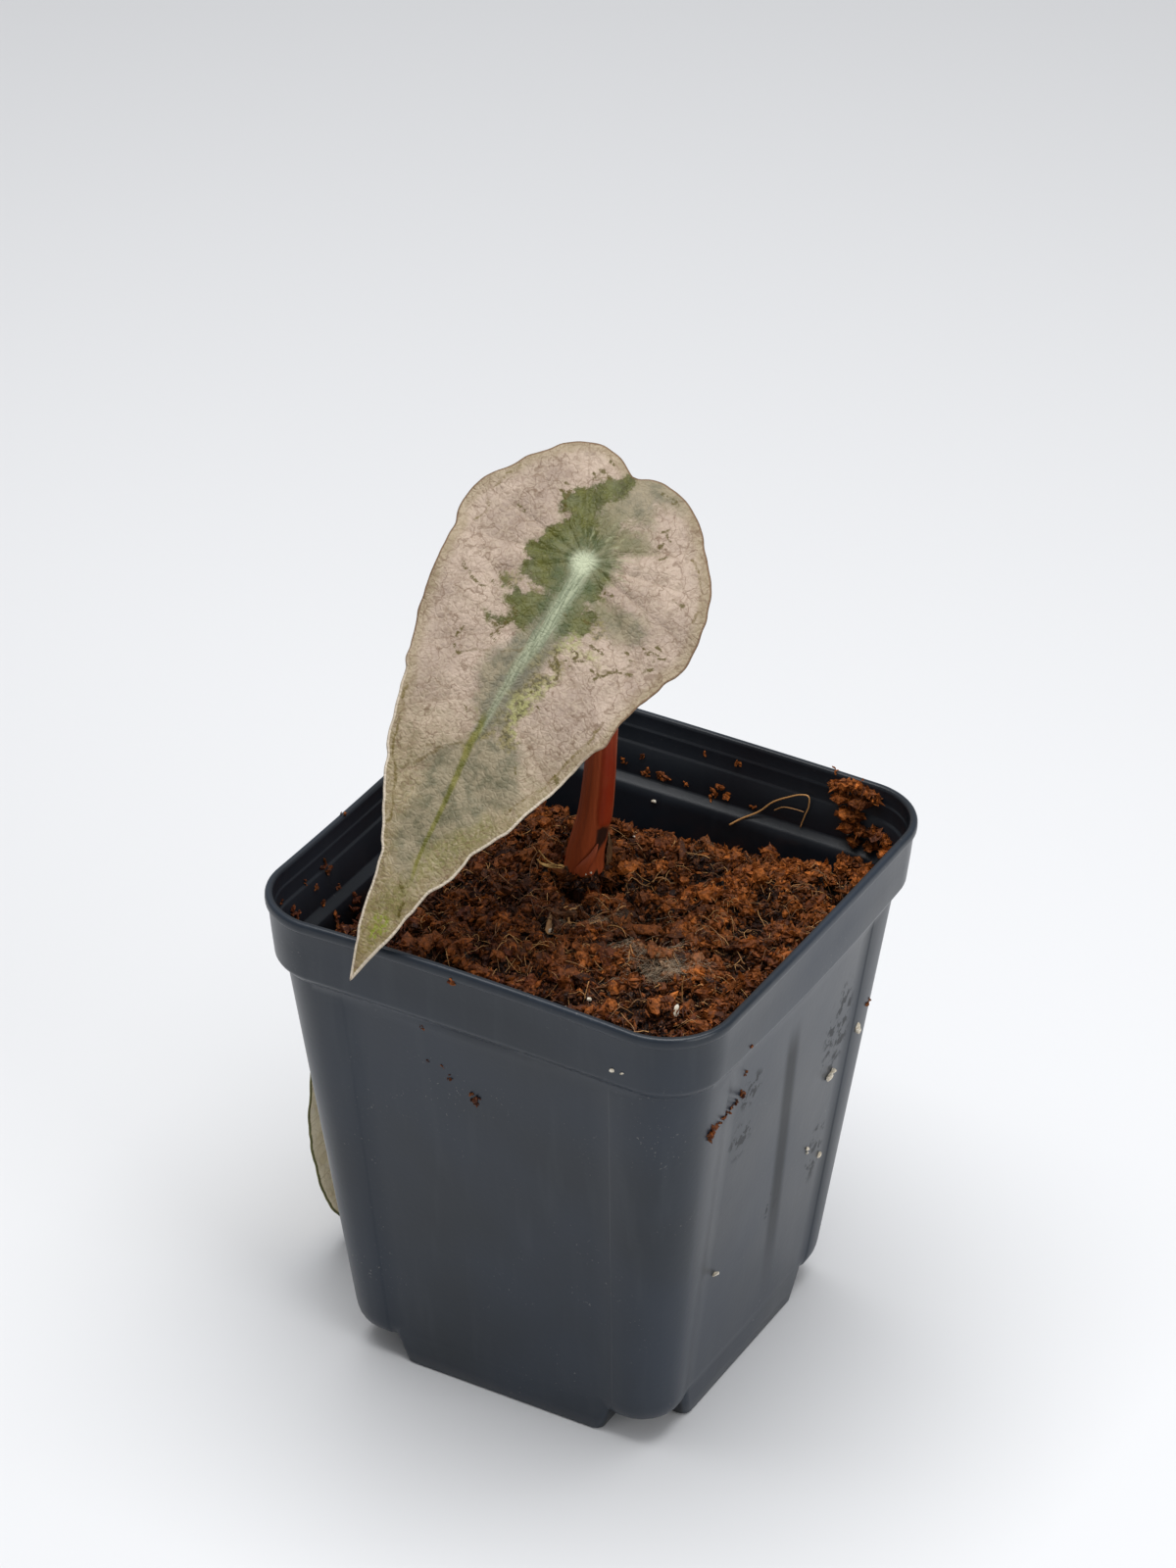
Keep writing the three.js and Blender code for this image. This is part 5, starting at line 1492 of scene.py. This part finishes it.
def crown_material():
    look = Look("stem_base")
    at = look.place()
    fibre = look.noise(look.stretched(at, 1.0, 1.0, 0.16), 1300.0, 4.0, 0.65)
    dry = look.mix(fibre.up(0.3, 0.7), rgb(168, 124, 66), rgb(206, 172, 108))
    base = look.mix(fibre.up(0.35, 0.7), rgb(26, 13, 8), rgb(82, 44, 26)).under(
        (look.noise(at, 240.0, 3.0, 0.6).up(0.5, 0.75) * 0.5, (112, 60, 36)),
        (look.attribute("dry"), dry))
    return look.shader(Base_Color=base, Roughness=0.6, Normal=look.bump(fibre, 0.9, 0.0006),
                       Specular_IOR_Level=0.35)


def flap(angle, spread, top, lean, levels=26, columns=14, thickness=0.3, root=3.5, hug=0.25):
    """One dried sheath scale as a closed curved plate, pointed at the top."""
    k = np.linspace(0, 1, levels)[:, None]
    i = np.linspace(-1, 1, columns)[None]
    half = math.radians(spread) * (1 - 0.86 * k ** 1.8)
    swing = math.radians(angle) + half * i
    z = CROWN["top"] - root + (top - CROWN["top"] + root) * k + 0 * i
    reach = crown_radius(swing, hug) + lean * k ** 3 - 1.4 * np.clip(1 - 3 * k, 0, 1)
    ragged = 0.16 * noise(np.column_stack([(swing * 3).ravel(), z.ravel()]), 0.8, 41).reshape(z.shape)
    layers = []
    for skin_gap in (thickness, 0.0):
        r = reach + ragged + skin_gap
        layer = np.stack([CROWN["x"] + r * np.cos(swing), CROWN["y"] + r * np.sin(swing), z], -1)
        layers.append(layer.reshape(-1, 3))
    a, b = np.meshgrid(np.arange(levels - 1), np.arange(columns - 1), indexing="ij")
    q = (a * columns + b).ravel()
    front = np.column_stack([q, q + 1, q + columns + 1, q + columns])
    other = levels * columns
    border = [*range(columns - 1)] + [r * columns + columns - 1 for r in range(levels - 1)]
    border += [(levels - 1) * columns + c for c in range(columns - 1, 0, -1)]
    border += [r * columns for r in range(levels - 1, 0, -1)]
    p = np.array(border)
    n = np.roll(p, -1)
    faces = np.vstack([front, front[:, ::-1] + other, np.column_stack([n, p, p + other, n + other])])
    return np.vstack(layers), faces


def ribbon(path, wide, thick):
    """A narrow pointed strip along a path."""
    path = resample(smooth_path(path, 10), 30)
    first, second = path_frames(path)
    share = np.linspace(0, 1, 30)
    width = wide * (1 - share) ** 0.6 * (0.5 + 0.5 * np.minimum(share * 6, 1)) + 0.04
    angle = np.arange(12) / 12 * 2 * math.pi
    ring = np.cos(angle)[None, :, None] * first[:, None] * width[:, None, None]
    return skin(path[:, None] + ring + np.sin(angle)[None, :, None] * second[:, None] * thick)


def build_crown():
    levels = np.linspace(0, 1, 40)
    z = CROWN["bottom"] + (CROWN["top"] - CROWN["bottom"]) * levels
    width = np.interp(z, [69, 73, 80.7, 83.4, 84.6, 85.7], [0.6, 0.92, 1.0, 0.97, 0.9, 0.74])
    angle = np.arange(72) / 72 * 2 * math.pi
    radius = crown_radius(angle)[None] * width[:, None]
    around_at = np.column_stack([np.repeat(z, 72) / 6, np.tile(np.cos(angle) * 5, 40),
                                 np.tile(np.sin(angle) * 5, 40)])
    radius = radius + 0.3 * noise(around_at, 1.0, 42).reshape(radius.shape)
    rings = np.stack([CROWN["x"] + radius * np.cos(angle), CROWN["y"] + radius * np.sin(angle),
                      np.repeat(z[:, None], 72, 1)], -1)
    heap = Heap()
    heap.add(*skin(rings), dry=0)
    heap.add(*flap(20, 44, 90.6, -0.3), dry=0.1)
    heap.add(*flap(100, 52, 90.4, 0.6), dry=0.15)
    random = np.random.default_rng(CROWN_SEED)
    for k in range(26):
        turn = k / 26 * 360 + random.uniform(-6, 6)
        front = math.cos(math.radians(turn + 61))
        top = random.uniform(86.0, 87.6) - 0.5 * front
        scale = flap(turn, random.uniform(7, 15), top, random.uniform(-0.9, 0.25), 12, 6, 0.22,
                     random.uniform(2, 4), 0.1)
        heap.add(*scale, dry=random.choice([0, 0.05, 0.12, 0.3], p=[0.5, 0.25, 0.15, 0.1]))
    # The curled dry tip at the left of the stalk's foot, and its prong
    tip = [(-10.4, 10.3, 85.6), (-12.2, 9.2, 86.1), (-13.8, 8.3, 86.2), (-15.1, 7.5, 86.9),
           (-15.5, 7.2, 87.7)]
    prong = [(-12.4, 9.0, 86.3), (-13.6, 8.3, 87.0), (-14.6, 7.8, 88.2), (-15.3, 7.4, 89.5)]
    heap.add(*ribbon(tip, 0.75, 0.14), dry=1.0)
    heap.add(*ribbon(prong, 0.4, 0.12), dry=1.0)
    heap.piece("stem_base", True, crown_material(), "crown", ["crown"])


# Camera, floor and light

def build_camera():
    """The photograph's camera: place, turn and focal length fitted to the pot."""
    azimuth, elevation, roll = math.radians(CAMERA_AZIMUTH), math.radians(CAMERA_ELEVATION), CAMERA_ROLL
    back = Vector((math.sin(azimuth) * math.cos(elevation), -math.cos(azimuth) * math.cos(elevation),
                   math.sin(elevation)))
    right = Vector((math.cos(azimuth), math.sin(azimuth), 0))
    up = back.cross(right)
    turned_right = right * math.cos(roll) + up * math.sin(roll)
    turned_up = up * math.cos(roll) - right * math.sin(roll)
    data = bpy.data.cameras.new("camera")
    data.sensor_width = SENSOR
    data.lens = FOCAL_PIXELS * SENSOR / FRAME_HEIGHT
    data.clip_start = 0.01
    camera = bpy.data.objects.new("camera", data)
    matrix = Matrix((turned_right, turned_up, back)).transposed().to_4x4()
    matrix.translation = Vector(CAMERA_AT)
    camera.matrix_world = matrix
    scene.collection.objects.link(camera)
    scene.camera = camera


def build_stage():
    look = Look("floor")
    material = look.shader(Base_Color=rgb(219, 220, 222), Roughness=0.55, Specular_IOR_Level=0.2)
    corners = [(x * FLOOR_HALF, y * FLOOR_HALF, -0.02) for x, y in ((-1, -1), (1, -1), (1, 1), (-1, 1))]
    floor = bpy.data.objects.new("floor", mesh_from("floor", corners, np.array([[0, 1, 2, 3]])))
    floor.data.materials.append(material)
    scene.collection.objects.link(floor)


def area_light(name, at, target, size, power):
    data = bpy.data.lights.new(name, "AREA")
    data.shape = "RECTANGLE"
    data.size, data.size_y = size
    data.energy = power
    lamp = bpy.data.objects.new(name, data)
    lamp.location = at
    lamp.rotation_euler = (Vector(target) - Vector(at)).to_track_quat("-Z", "Y").to_euler()
    scene.collection.objects.link(lamp)


def build_light():
    world = bpy.data.worlds.new("studio")
    world.use_nodes = True
    world.node_tree.nodes["Background"].inputs[0].default_value = (0.97, 0.98, 1.0, 1)
    world.node_tree.nodes["Background"].inputs[1].default_value = 0.42
    scene.world = world
    area_light("softbox_above", (0.0, 0.02, 0.78), (0, 0.02, 0), (0.7, 0.6), 6.5)
    area_light("softbox_right", (0.95, -0.2, 0.38), (0, 0, 0.06), (0.6, 0.6), 3.4)
    scene.view_settings.view_transform = "Standard"


build_camera()
build_stage()
build_light()
build_pot()
build_soil()
build_crown()
build_stalks()
build_blades()
